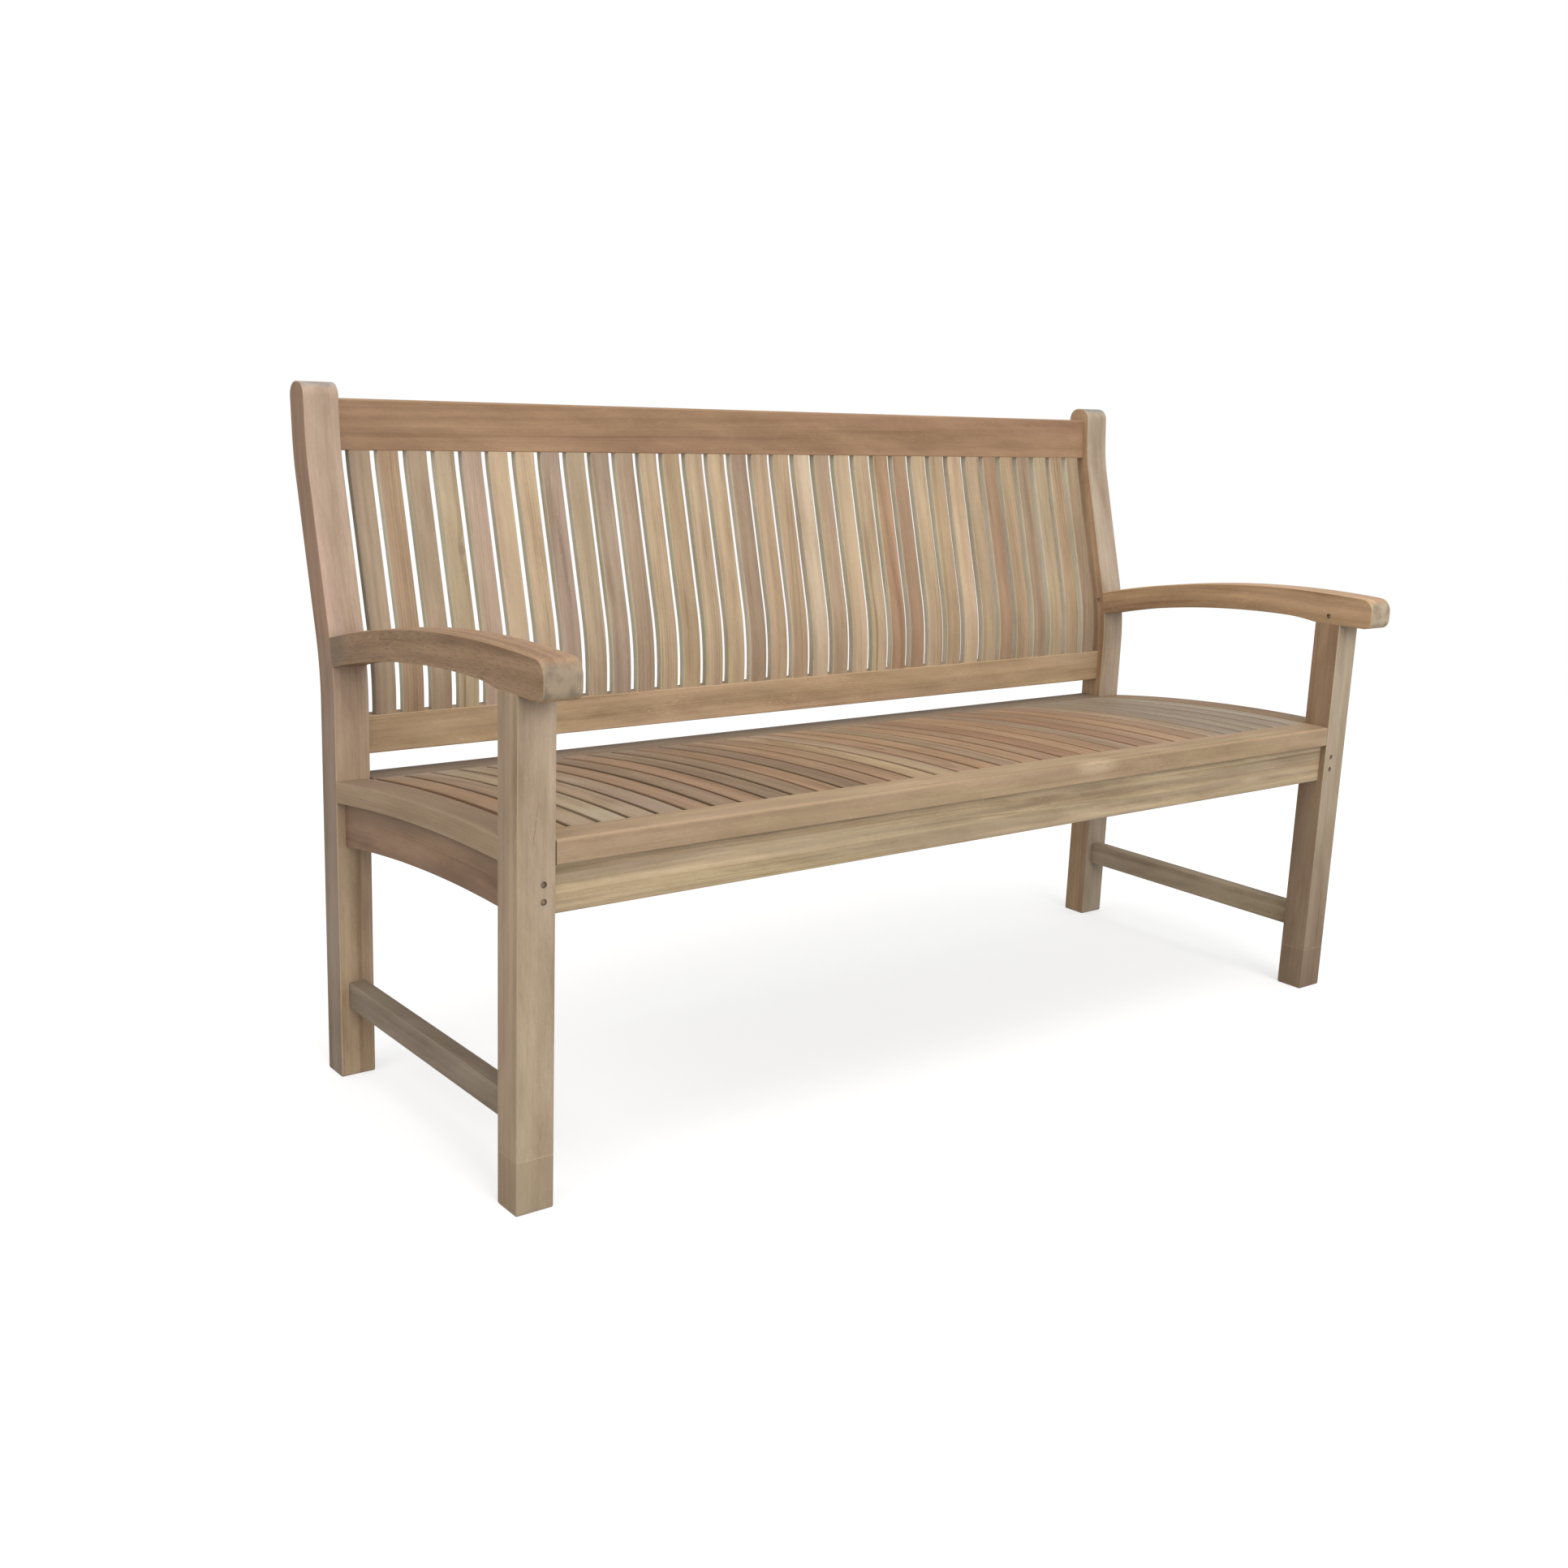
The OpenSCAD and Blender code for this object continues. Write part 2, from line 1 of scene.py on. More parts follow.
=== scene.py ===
"""A slatted garden bench in sanded teak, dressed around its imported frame.

Every board is rebuilt as a skin: its side outline is carried along X, and its edges are eased by
an arris. Each board then carries its own place in a sawn log, so that one solid wood pattern
gives it long grain on the faces and growth rings on the ends.
"""

import logging
import math
import zlib
from dataclasses import dataclass, field
from enum import Enum

import bpy
import numpy as np
from mathutils import Matrix, Vector


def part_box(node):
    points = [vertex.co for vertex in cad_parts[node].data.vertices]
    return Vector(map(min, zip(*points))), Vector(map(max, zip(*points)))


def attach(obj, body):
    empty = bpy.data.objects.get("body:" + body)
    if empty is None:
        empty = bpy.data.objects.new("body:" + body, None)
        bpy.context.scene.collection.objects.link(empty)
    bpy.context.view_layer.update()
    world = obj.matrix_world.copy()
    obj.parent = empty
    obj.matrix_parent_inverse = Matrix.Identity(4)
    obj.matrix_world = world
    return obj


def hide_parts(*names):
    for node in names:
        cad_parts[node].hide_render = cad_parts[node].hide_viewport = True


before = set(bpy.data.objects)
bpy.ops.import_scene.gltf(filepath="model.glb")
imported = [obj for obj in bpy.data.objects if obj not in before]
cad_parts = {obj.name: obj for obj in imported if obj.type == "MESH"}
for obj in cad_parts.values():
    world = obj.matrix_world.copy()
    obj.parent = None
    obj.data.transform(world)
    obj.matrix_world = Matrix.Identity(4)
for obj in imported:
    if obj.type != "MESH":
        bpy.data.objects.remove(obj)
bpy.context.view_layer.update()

LOG = logging.getLogger("garden_bench")
BODY = "root"
MM = 0.001
HOLD = 0.0004           # narrow strip beside an eased edge, which keeps the flat face flat
HOUSED = 0.004          # how far a board's shoulder is let into its neighbour
HOUSED_FLUSH = 0.002    # the same where both boards share an outer face
SEAT_RADIUS = 3.000     # bend of the seat from front to back
SEAT_CROWN = 0.070      # how far behind the legs' front faces the seat is highest
SEAT_THICKNESS = 0.029  # of the end boards, down to the side aprons
END_BOARD_WIDTH = 0.045
APRON_RADIUS = 2.412    # arch under the side aprons and the brace
APRON_CROWN = 0.112     # how far behind the legs' front faces that arch is highest
CUTTER_PROUD = 0.004    # how far the tool that cuts a bore stands out of its mouth
CUTTER_EASE = 0.0002
SHARP_ANGLE = math.radians(35.0)
STUDIO_GAIN = 1.65      # how much brighter the studio's front light makes a colour
WHITE = (1.0, 1.0, 1.0, 1.0)

Socket = bpy.types.NodeSocket


class Side(Enum):
    """The two ends of the bench, and their sign along X."""

    LEFT = -1
    RIGHT = 1

    @property
    def word(self) -> str:
        """The side's name as the frame's nodes spell it."""
        return self.name.lower()


class Slot(Enum):
    """The record's material slots."""

    LEG = "leg_wood"
    RAIL = "rail_wood"
    UNDER = "under_wood"
    SLAT = "slat_wood"
    PEG = "peg_wood"


class Grain(Enum):
    """Which way a board's fibres run, as the order of axes: along, across and through it."""

    ALONG_X = (0, 2, 1)
    ALONG_Y = (1, 0, 2)
    ALONG_Z = (2, 0, 1)


class Sawing(Enum):
    """How a board was sawn, as the bearing of its heart in degrees: 0 is beside it, 90 behind it."""

    QUARTER = 8.0
    RIFT = 42.0
    PLAIN = 82.0


class Tone(Enum):
    """Colours of sanded teak in even light, as display values from 0 to 255."""

    # Painted light: a pale tone for slat sides, which the neighbouring slats shade
    SAWN = (228, 218, 192)
    PALE = (189, 169, 141)
    AMBER = (190, 158, 123)
    SAND = (183, 160, 129)
    BISCUIT = (175, 152, 124)
    WHEAT = (178, 151, 118)
    STRAW = (171, 152, 122)
    FAWN = (170, 146, 115)
    HONEY = (163, 132, 101)
    UMBER = (156, 134, 109)
    RUSSET = (158, 130, 102)
    ROSE = (170, 147, 126)
    MAUVE = (158, 137, 117)
    LINEN = (171, 156, 133)
    FLAX = (163, 145, 121)
    TAWNY = (154, 121, 92)
    ASH = (163, 149, 129)
    STONE = (149, 133, 114)
    NUT = (153, 124, 97)
    BARK = (135, 113, 91)

    @property
    def linear(self) -> np.ndarray:
        """The colour as linear red, green and blue."""
        return to_linear(self.value)


def tones_named(words: str) -> tuple[Tone, ...]:
    """The tones that a line of words names, in order."""
    return tuple(Tone[word] for word in words.split())


def to_linear(display: tuple[float, ...]) -> np.ndarray:
    """Turns display values from 0 to 255 into linear ones.

    Formula: the display curve's inverse, ((c + 0.055) / 1.055) to the power 2.4, with its
    straight stretch below 0.04045.

    Args:
        display: red, green and blue from 0 to 255.

    Returns:
        Three linear values from 0 to 1.
    """
    c = np.asarray(display, float) / 255.0
    return np.where(c <= 0.04045, c / 12.92, ((c + 0.055) / 1.055) ** 2.4)


def unit(v: np.ndarray) -> np.ndarray:
    """The direction of v, with length 1."""
    return v / np.linalg.norm(v, axis=-1, keepdims=True)


# ---- Curves of the bench, as functions of depth or height ----


@dataclass(frozen=True)
class Places:
    """Where the main parts stand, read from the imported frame, in metres."""

    outer: float
    inner: float
    leg_front: float
    leg_back: float
    leg_top: float
    post_front: float
    post_top: float
    seat_crown: float

    @classmethod
    def read(cls, leg_tenon: float = 0.028) -> "Places":
        """Reads the places from the boxes of the legs, the posts and an end board.

        Args:
            leg_tenon: height of the tenon on top of a front leg.

        Returns:
            The places.
        """
        leg_low, leg_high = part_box("front_leg_right")
        post_low, post_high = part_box("back_post_right")
        return cls(
            outer=leg_high.x,
            inner=leg_low.x,
            leg_front=leg_low.y,
            leg_back=leg_high.y,
            leg_top=leg_high.z - leg_tenon,
            post_front=post_low.y,
            post_top=post_high.z,
            seat_crown=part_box("seat_end_board_right")[1].z,
        )


@dataclass(frozen=True)
class BackCurve:
    """The lean of the back: upright, an arc, a slope, and an arc back towards upright."""

    front: float
    low_z: float = 0.505
    high_z: float = 0.800
    low_r: float = 0.400
    high_r: float = 0.300
    lean: float = math.radians(15.0)
    lean_top: float = math.radians(4.0)

    def sine(self, z: np.ndarray) -> np.ndarray:
        """Sine of the lean at height z: it grows by 1 / radius per metre along each arc."""
        rise = np.clip((z - self.low_z) / self.low_r, 0.0, math.sin(self.lean))
        fall = np.clip((z - self.high_z) / self.high_r, 0.0, math.sin(self.lean) - math.sin(self.lean_top))
        return rise - fall

    def setback(self, z: np.ndarray) -> np.ndarray:
        """How far the face has gone back at height z.

        Formula: on an arc the setback changes by radius times the change of the lean's cosine,
        and on a straight stretch by the height times the tangent of the lean.

        Args:
            z: heights in metres.

        Returns:
            Setbacks in metres.
        """
        low_end = self.low_z + self.low_r * math.sin(self.lean)
        high_end = self.high_z + self.high_r * (math.sin(self.lean) - math.sin(self.lean_top))
        on_low = np.sqrt(1.0 - np.clip((z - self.low_z) / self.low_r, 0.0, math.sin(self.lean)) ** 2)
        first = self.low_r * (1.0 - on_low)
        second = np.clip(z - low_end, 0.0, self.high_z - low_end) * math.tan(self.lean)
        s = math.sin(self.lean) - np.clip((z - self.high_z) / self.high_r, 0.0,
                                          math.sin(self.lean) - math.sin(self.lean_top))
        third = self.high_r * (np.sqrt(1.0 - s ** 2) - math.cos(self.lean))
        fourth = np.maximum(z - high_end, 0.0) * math.tan(self.lean_top)
        return first + second + third + fourth

    def line(self, depth: float, z: np.ndarray) -> np.ndarray:
        """The side-view line that runs at an even depth behind the face, as points (y, z)."""
        cosine = np.sqrt(1.0 - self.sine(z) ** 2)
        return np.column_stack([self.front + self.setback(z) + depth / cosine, z])


@dataclass(frozen=True)
class Arch:
    """A long arc of circle in the side view, highest at the depth crown."""

    crown: float
    height: float
    radius: float

    def z(self, y: np.ndarray) -> np.ndarray:
        """Height at the depth y: height - radius + root(radius² - (y - crown)²)."""
        return self.height - self.radius + np.sqrt(self.radius ** 2 - (y - self.crown) ** 2)

    def line(self, y: np.ndarray, drop: float = 0.0) -> np.ndarray:
        """Points (y, z) that lie a given drop under the arch."""
        return np.column_stack([y, self.z(y) - drop])


# ---- Meshes: an outline in the side view, carried along X ----


def round_corner(before: np.ndarray, corner: np.ndarray, after: np.ndarray, radius: float,
                 steps: int) -> np.ndarray:
    """Rounds one corner of an outline.

    Formula: the arc touches both edges at radius / tan(half angle) from the corner, and its
    points turn evenly about a centre on the bisector, radius / sin(half angle) away.

    Args:
        before: the outline's point before the corner.
        corner: the corner.
        after: the outline's point after it.
        radius: the arc's radius.
        steps: how many straight steps make the arc.

    Returns:
        The points that take the corner's place, with a holding point on each edge.
    """
    a, b = unit(before - corner), unit(after - corner)
    half = math.acos(float(np.clip(a @ b, -1.0, 1.0))) / 2.0
    reach = radius / math.tan(half)
    centre = corner + unit(a + b) * radius / math.sin(half)
    start, end = corner + a * reach - centre, corner + b * reach - centre
    angle = math.pi - 2.0 * half
    t = np.linspace(0.0, 1.0, steps + 1)[:, None]
    arc = centre + (np.sin((1.0 - t) * angle) * start + np.sin(t * angle) * end) / math.sin(angle)
    return np.vstack([corner + a * (reach + HOLD), arc, corner + b * (reach + HOLD)])


@dataclass(frozen=True)
class Corners:
    """Radii of the two corners at one end of a board's outline: on its near and far side."""

    near: float = 0.0022
    far: float = 0.0022
    steps: int = 3


@dataclass(frozen=True)
class Bore:
    """A round hole for a peg: its mouth, which way it runs in, its size, and how deep the peg sits."""

    mouth: tuple[float, float, float]
    inwards: tuple[float, float, float]
    radius: float = 0.004
    depth: float = 0.038
    sink: float = 0.003


@dataclass(frozen=True)
class Flaw:
    """A knot, an eye, a dark streak, a stain or a check in the wood.

    It has a middle and half sizes along X, Y and Z, turned about Y by tilt. The growth rings
    swell around it by swell metres. Its core is coloured by the share core: brown where stain is
    0, grey where it is 1, and bleached where it is -1.
    """

    middle: tuple[float, float, float]
    reach: tuple[float, float, float]
    tilt: float = 0.0
    swell: float = 0.011
    core: float = 0.75
    stain: float = 0.0

    def place(self, points: np.ndarray) -> np.ndarray:
        """The points seen from the flaw's middle, in its own sizes."""
        x, y, z = (points - np.array(self.middle)).T
        across = x * math.cos(self.tilt) - z * math.sin(self.tilt)
        along = z * math.cos(self.tilt) + x * math.sin(self.tilt)
        return np.column_stack([across, y, along]) / np.array(self.reach)


NO_FLAW = Flaw((0.0, 0.0, 90.0), (1.0, 1.0, 1.0), core=0.0)


@dataclass(frozen=True)
class Foot:
    """Painted light and shade low on an upright board: the tones it turns to between high and low, until it
    turns back at until.
    """

    face: Tone
    cheek: Tone
    low: float
    high: float
    until: float = -1.0
    fade: float = 0.1

    def share(self, z: np.ndarray) -> np.ndarray:
        """How much of the foot's tone shows at height z: none above high, all at low, none at until."""
        turned = np.clip((self.high - z) / (self.high - self.low), 0.0, 1.0)
        return turned * np.clip((z - self.until) / self.fade, 0.0, 1.0)


@dataclass
class Board:
    """One board: its outline in the side view, its stretch along X, and the wood it is cut from."""

    name: str
    node: str
    slot: Slot
    near: np.ndarray
    far: np.ndarray
    x0: float
    x1: float
    grain: Grain
    tone: Tone
    sawing: Sawing = Sawing.RIFT
    arris: float = 0.0022
    start: Corners = field(default_factory=Corners)
    end: Corners = field(default_factory=Corners)
    bores: tuple[Bore, ...] = ()
    flaw: Flaw = NO_FLAW
    figure: float = 1.0
    grey: float = 0.3
    sapwood: float = 0.1
    dust: float = 0.2
    # Strength of the lighter eased edges: partly sanding wear, partly a painted highlight
    wear: float = 1.0
    scribed: float = 9.0
    # Tone of the faces at x0 and x1: painted light and shade that sets them apart from the board's front
    # face
    cheek: Tone | None = None
    # Painted light and shade low on the board: darker on the right leg, paler on the posts under the arms
    foot: Foot | None = None
    open_grain: float = 0.1
    # Corners tighter than this get the lighter edge: partly sanding wear, partly a painted highlight
    widest_wear: float = 0.006

    def outline(self) -> tuple[np.ndarray, np.ndarray]:
        """The closed outline, anticlockwise as seen from +X.

        Formula: the near side with its two end corners rounded, then the far side backwards.
        Both sides have the same number of points, so point i faces point -1 - i. No corner is
        tighter than the arris, so that the outline can be inset by it.

        Returns:
            Points (y, z), and how much of each is an eased corner, from 0 to 1.
        """
        near, far = self.near, self.far
        least = self.arris + 2.5 * HOLD
        corners = ((far[0], near[0], near[1], self.start.near, self.start.steps),
                   (near[-2], near[-1], far[-1], self.end.near, self.end.steps),
                   (near[-1], far[-1], far[-2], self.end.far, self.end.steps),
                   (far[1], far[0], near[0], self.start.far, self.start.steps))
        rounds = [round_corner(a, b, c, max(radius, least), steps) for a, b, c, radius, steps in corners]
        eased = [np.concatenate([[0.0], np.sin(np.linspace(0.0, math.pi, steps + 1)), [0.0]])
                 * (radius < self.widest_wear) for _, _, _, radius, steps in corners]
        plain = np.zeros(len(near) - 2)
        loop = np.vstack([rounds[0], near[1:-1], rounds[1], rounds[2], far[1:-1][::-1], rounds[3]])
        wear_and_highlight = np.concatenate([eased[0], plain, eased[1], eased[2], plain, eased[3]])
        following = np.roll(loop, -1, axis=0)
        area = np.sum(loop[:, 0] * following[:, 1] - following[:, 0] * loop[:, 1])
        return (loop, wear_and_highlight) if area > 0 else (loop[::-1], wear_and_highlight[::-1])

    def rings(self, steps: int = 4) -> tuple[np.ndarray, np.ndarray, np.ndarray]:
        """The rings that carry the outline along X.

        Formula: over a quarter turn the ring's distance from the side face is
        arris * (1 - cos turn) and its inset is arris * (1 - sin turn). A holding ring lies on
        either side of the turn.

        Args:
            steps: straight steps in an eased edge.

        Returns:
            Each ring's x, its inset, and how much of it is the eased edge, from 0 to 1.
        """
        turn = np.linspace(0.0, math.pi / 2.0, steps + 1)
        away = np.concatenate([[0.0], self.arris * (1.0 - np.cos(turn)), [self.arris + HOLD]])
        inset = np.concatenate([[self.arris + HOLD], self.arris * (1.0 - np.sin(turn)), [0.0]])
        wear_and_highlight = np.concatenate([[0.0], np.sin(2.0 * turn), [0.0]])
        x = np.concatenate([self.x0 + away, (self.x1 - away)[::-1]])
        return x, np.concatenate([inset, inset[::-1]]), np.concatenate([wear_and_highlight, wear_and_highlight[::-1]])

    def skin(self) -> tuple[np.ndarray, np.ndarray, np.ndarray]:
        """The board's closed skin.

        Formula: ring j is the outline moved inwards along its mitres by the ring's inset. Quads
        join each ring to the next, and a ladder of quads from side to side closes both faces.

        Returns:
            Vertices, quads, and the share of eased edge at each vertex.
        """
        loop, corner_wear_and_highlight = self.outline()
        step = unit(np.roll(loop, -1, axis=0) - loop)
        outward = np.column_stack([step[:, 1], -step[:, 0]])
        previous = np.roll(outward, 1, axis=0)
        mitre = (outward + previous) / (1.0 + np.sum(outward * previous, axis=1, keepdims=True))
        x, inset, wear_and_highlight = self.rings()
        flat = loop[None] - inset[:, None, None] * mitre[None]
        rows, count = flat.shape[:2]
        vertices = np.concatenate([np.broadcast_to(x[:, None, None], (rows, count, 1)), flat], axis=2)
        i = np.arange(count // 2 - 1)
        last = (rows - 1) * count
        right = last + np.stack([i, i + 1, count - 2 - i, count - 1 - i], axis=-1)
        left = (right - last)[:, ::-1]
        quads = np.vstack([tube_quads(rows, count), right, left])
        wear = np.maximum(wear_and_highlight[:, None], corner_wear_and_highlight[None]).ravel()
        return vertices.reshape(-1, 3), quads, wear


def tube_quads(rows: int, count: int) -> np.ndarray:
    """The quads between rows of points, where each row is a closed ring of count points."""
    j, i = np.meshgrid(np.arange(rows - 1), np.arange(count), indexing="ij")
    k = (i + 1) % count
    quads = np.stack([j * count + i, j * count + k, (j + 1) * count + k, (j + 1) * count + i], axis=-1)
    return quads.reshape(-1, 4)


def new_mesh(name: str, vertices: np.ndarray, faces: list[list[int]]) -> bpy.types.Object:
    """Makes a smooth-shaded object from arrays and links it to the scene.

    Args:
        name: the object's name.
        vertices: points, one row each.
        faces: vertex numbers of each face.

    Returns:
        The object.
    """
    mesh = bpy.data.meshes.new(name)
    mesh.from_pydata(vertices.tolist(), [], faces)
    mesh.validate()
    mesh.polygons.foreach_set("use_smooth", np.ones(len(mesh.polygons), bool))
    mesh.update()
    piece = bpy.data.objects.new(name, mesh)
    bpy.context.scene.collection.objects.link(piece)
    return piece


def rod(name: str, bore: Bore, near: float, far: float, radius: float, ease: float,
        around: int = 28) -> bpy.types.Object:
    """Makes a round rod on a bore's axis, with eased ends.

    Formula: a profile of (distance along the axis, radius), whose ends turn in by a quarter
    circle of radius ease, goes round the axis in even steps.

    Args:
        name: the object's name.
        bore: the bore whose axis it lies on.
        near: distance of its first end from the bore's mouth.
        far: distance of its second end from the mouth.
        radius: the rod's radius.
        ease: radius of the eased ends.
        around: steps round the rod.

    Returns:
        The rod.
    """
    axis = np.array(bore.inwards, float)
    first = unit(np.cross(axis, [0.3, 0.5, 0.8]))
    second = np.cross(axis, first)
    turn = np.linspace(0.0, math.pi / 2.0, 5)
    along = np.concatenate([near + ease * (1.0 - np.cos(turn)), (far - ease * (1.0 - np.cos(turn)))[::-1]])
    reach = radius - ease * (1.0 - np.sin(turn))
    reach = np.concatenate([reach, reach[::-1]])
    angle = np.linspace(0.0, 2.0 * math.pi, around, endpoint=False)
    circle = np.cos(angle)[:, None] * first + np.sin(angle)[:, None] * second
    points = np.array(bore.mouth) + along[:, None, None] * axis + reach[:, None, None] * circle[None]
    rows = len(along)
    faces = tube_quads(rows, around).tolist()
    faces.append(list(range(around - 1, -1, -1)))
    faces.append(list(range((rows - 1) * around, rows * around)))
    return new_mesh(name, points.reshape(-1, 3), faces)


def cut_bores(piece: bpy.types.Object, bores: tuple[Bore, ...]) -> None:
    """Cuts round holes into a piece, and applies the cuts to its mesh."""
    for bore in bores:
        cutter = rod("bore_cutter", bore, -CUTTER_PROUD, bore.depth, bore.radius, CUTTER_EASE)
        cut = piece.modifiers.new("bore", "BOOLEAN")
        cut.operation = "DIFFERENCE"
        cut.solver = "EXACT"
        cut.object = cutter
        bpy.context.view_layer.update()
        graph = bpy.context.evaluated_depsgraph_get()
        bored = bpy.data.meshes.new_from_object(piece.evaluated_get(graph))
        piece.modifiers.clear()
        old, piece.data = piece.data, bored
        bpy.data.meshes.remove(old)
        bpy.data.objects.remove(cutter)
    if bores:
        piece.data.set_sharp_from_angle(angle=SHARP_ANGLE)
    piece.data.name = piece.name


def put_attribute(mesh: bpy.types.Mesh, name: str, kind: str, values: np.ndarray) -> None:
    """Stores one value for each vertex under a name that the materials read."""
    key = {"FLOAT": "value", "FLOAT_VECTOR": "vector", "FLOAT_COLOR": "color"}[kind]
    attribute = mesh.attributes.new(name, kind, "POINT")
    attribute.data.foreach_set(key, np.ascontiguousarray(values, np.float32).ravel())


@dataclass(frozen=True)
class Log:
    """The log a board is sawn from: how far its heart lies away, and how it wanders."""

    heart_near: float = 0.045
    heart_far: float = 0.140
    lean: float = 0.018
    length: float = 9.0
    bent: float = 0.85

    def straighten(self, board: Board, points: np.ndarray) -> np.ndarray:
        """Takes most of a curved board's bend out, so that its grain follows the curve.

        Formula: the board's middle line, between its near and its far side, gives the bend at
        each place along the fibres, and the share bent of it is taken off.

        Args:
            board: the board.
            points: its vertices.

        Returns:
            The points, moved through the board's thickness.
        """
        along, _, through = board.grain.value
        straight = points.copy()
        if along == 0:
            return straight
        middle = (board.near + board.far) / 2.0
        offset = np.interp(points[:, along], middle[:, along - 1], middle[:, through - 1])
        straight[:, through] -= self.bent * (offset - offset.mean())
        return straight

    def place(self, board: Board, points: np.ndarray) -> np.ndarray:
        """Carries a board's points into its log.

        Formula: (along, across, through) from the board's middle, sheared by a small lean, and
        moved to the board's distance and bearing from the heart, at its own place up the log.

        Args:
            board: the board.
            points: its vertices.

        Returns:
            The points in the log's coordinates, in metres.
        """
        rng = np.random.default_rng(zlib.crc32(board.name.encode()))
        points = self.straighten(board, points)
        local = (points - points.mean(axis=0))[:, list(board.grain.value)]
        bearing = math.radians(board.sawing.value + rng.uniform(-14.0, 14.0)) * rng.choice([-1.0, 1.0])
        distance = rng.uniform(self.heart_near, self.heart_far)
        lean = rng.uniform(-self.lean, self.lean, 2)
        heart = np.array([rng.uniform(0.0, self.length), distance * math.cos(bearing),
                          distance * math.sin(bearing)])
        local[:, 1:] += local[:, :1] * lean
        return local + heart


class Workshop:
    """Turns boards and pegs into finished pieces that ride on the frame."""

    def __init__(self, finishes: dict[Slot, bpy.types.Material]) -> None:
        """Takes the finished materials, one for each slot."""
        self.finishes = finishes
        self.log = Log()

    def make(self, board: Board) -> bpy.types.Object:
        """Builds one board, cuts its bores, dresses it and puts it on the frame.

        Args:
            board: the board.

        Returns:
            The piece.
        """
        vertices, quads, wear_and_highlight = board.skin()
        piece = new_mesh(board.name, vertices, quads.tolist())
        # Mask of the eased edges, which lightens them: partly sanding wear, partly a painted highlight
        put_attribute(piece.data, "arris", "FLOAT", wear_and_highlight * board.wear)
        cut_bores(piece, board.bores)
        count = len(piece.data.vertices)
        points = np.zeros(count * 3)
        piece.data.vertices.foreach_get("co", points)
        points = points.reshape(-1, 3)
        self.dress(piece, board, points)
        return self.install(piece, board.node, board.slot)

    def dress(self, piece: bpy.types.Object, board: Board, points: np.ndarray) -> None:
        """Stores what the wood pattern reads: the place in the log, the tone, and each share."""
        rng = np.random.default_rng(zlib.crc32(board.name.encode()) + 1)
        rows = len(points)
        shade = np.array([1.0, rng.uniform(0.985, 1.015), 1.0]) * rng.uniform(0.97, 1.03)
        # The faces at either end along X take their own tone: painted light and shade
        cheek = board.tone if board.cheek is None else board.cheek
        on_side_face = np.minimum(abs(points[:, 0] - board.x0), abs(points[:, 0] - board.x1)) < HOLD / 2.0
        tint = np.where(on_side_face[:, None], cheek.linear, board.tone.linear)
        # Low on an upright board, painted light and shade take over the tone
        if board.foot is not None:
            low = np.where(on_side_face[:, None], board.foot.cheek.linear, board.foot.face.linear)
            tint = tint + (low - tint) * board.foot.share(points[:, 2])[:, None]
        tint = tint * shade / STUDIO_GAIN
        along = np.zeros(3)
        along[board.grain.value[0]] = 1.0
        figure = (board.figure, rng.uniform(0.7, 1.2), board.grey)
        flaw = (board.flaw.swell, board.flaw.core, board.flaw.stain)
        share = (board.sapwood, board.dust, board.scribed)
        mesh = piece.data
        vectors = {"log": self.log.place(board, points), "along": np.tile(along, (rows, 1)),
                   "figure": np.tile(figure, (rows, 1)), "flaw_place": board.flaw.place(points),
                   "flaw": np.tile(flaw, (rows, 1)), "share": np.tile(share, (rows, 1))}
        for name, values in vectors.items():
            put_attribute(mesh, name, "FLOAT_VECTOR", values)
        put_attribute(mesh, "open_grain", "FLOAT", np.full(rows, board.open_grain))
        put_attribute(mesh, "tint", "FLOAT_COLOR", np.column_stack([tint, np.ones(rows)]))

    def install(self, piece: bpy.types.Object, node: str, slot: Slot) -> bpy.types.Object:
        """Gives a piece its finish, and lets it stand for its node on the frame's body."""
        piece.data.materials.clear()
        piece.data.materials.append(self.finishes[slot])
        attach(piece, BODY)
        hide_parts(node)
        LOG.info("%s: %d faces, for %s", piece.name, len(piece.data.polygons), node)
        return piece


# ---- Sub-assemblies ----


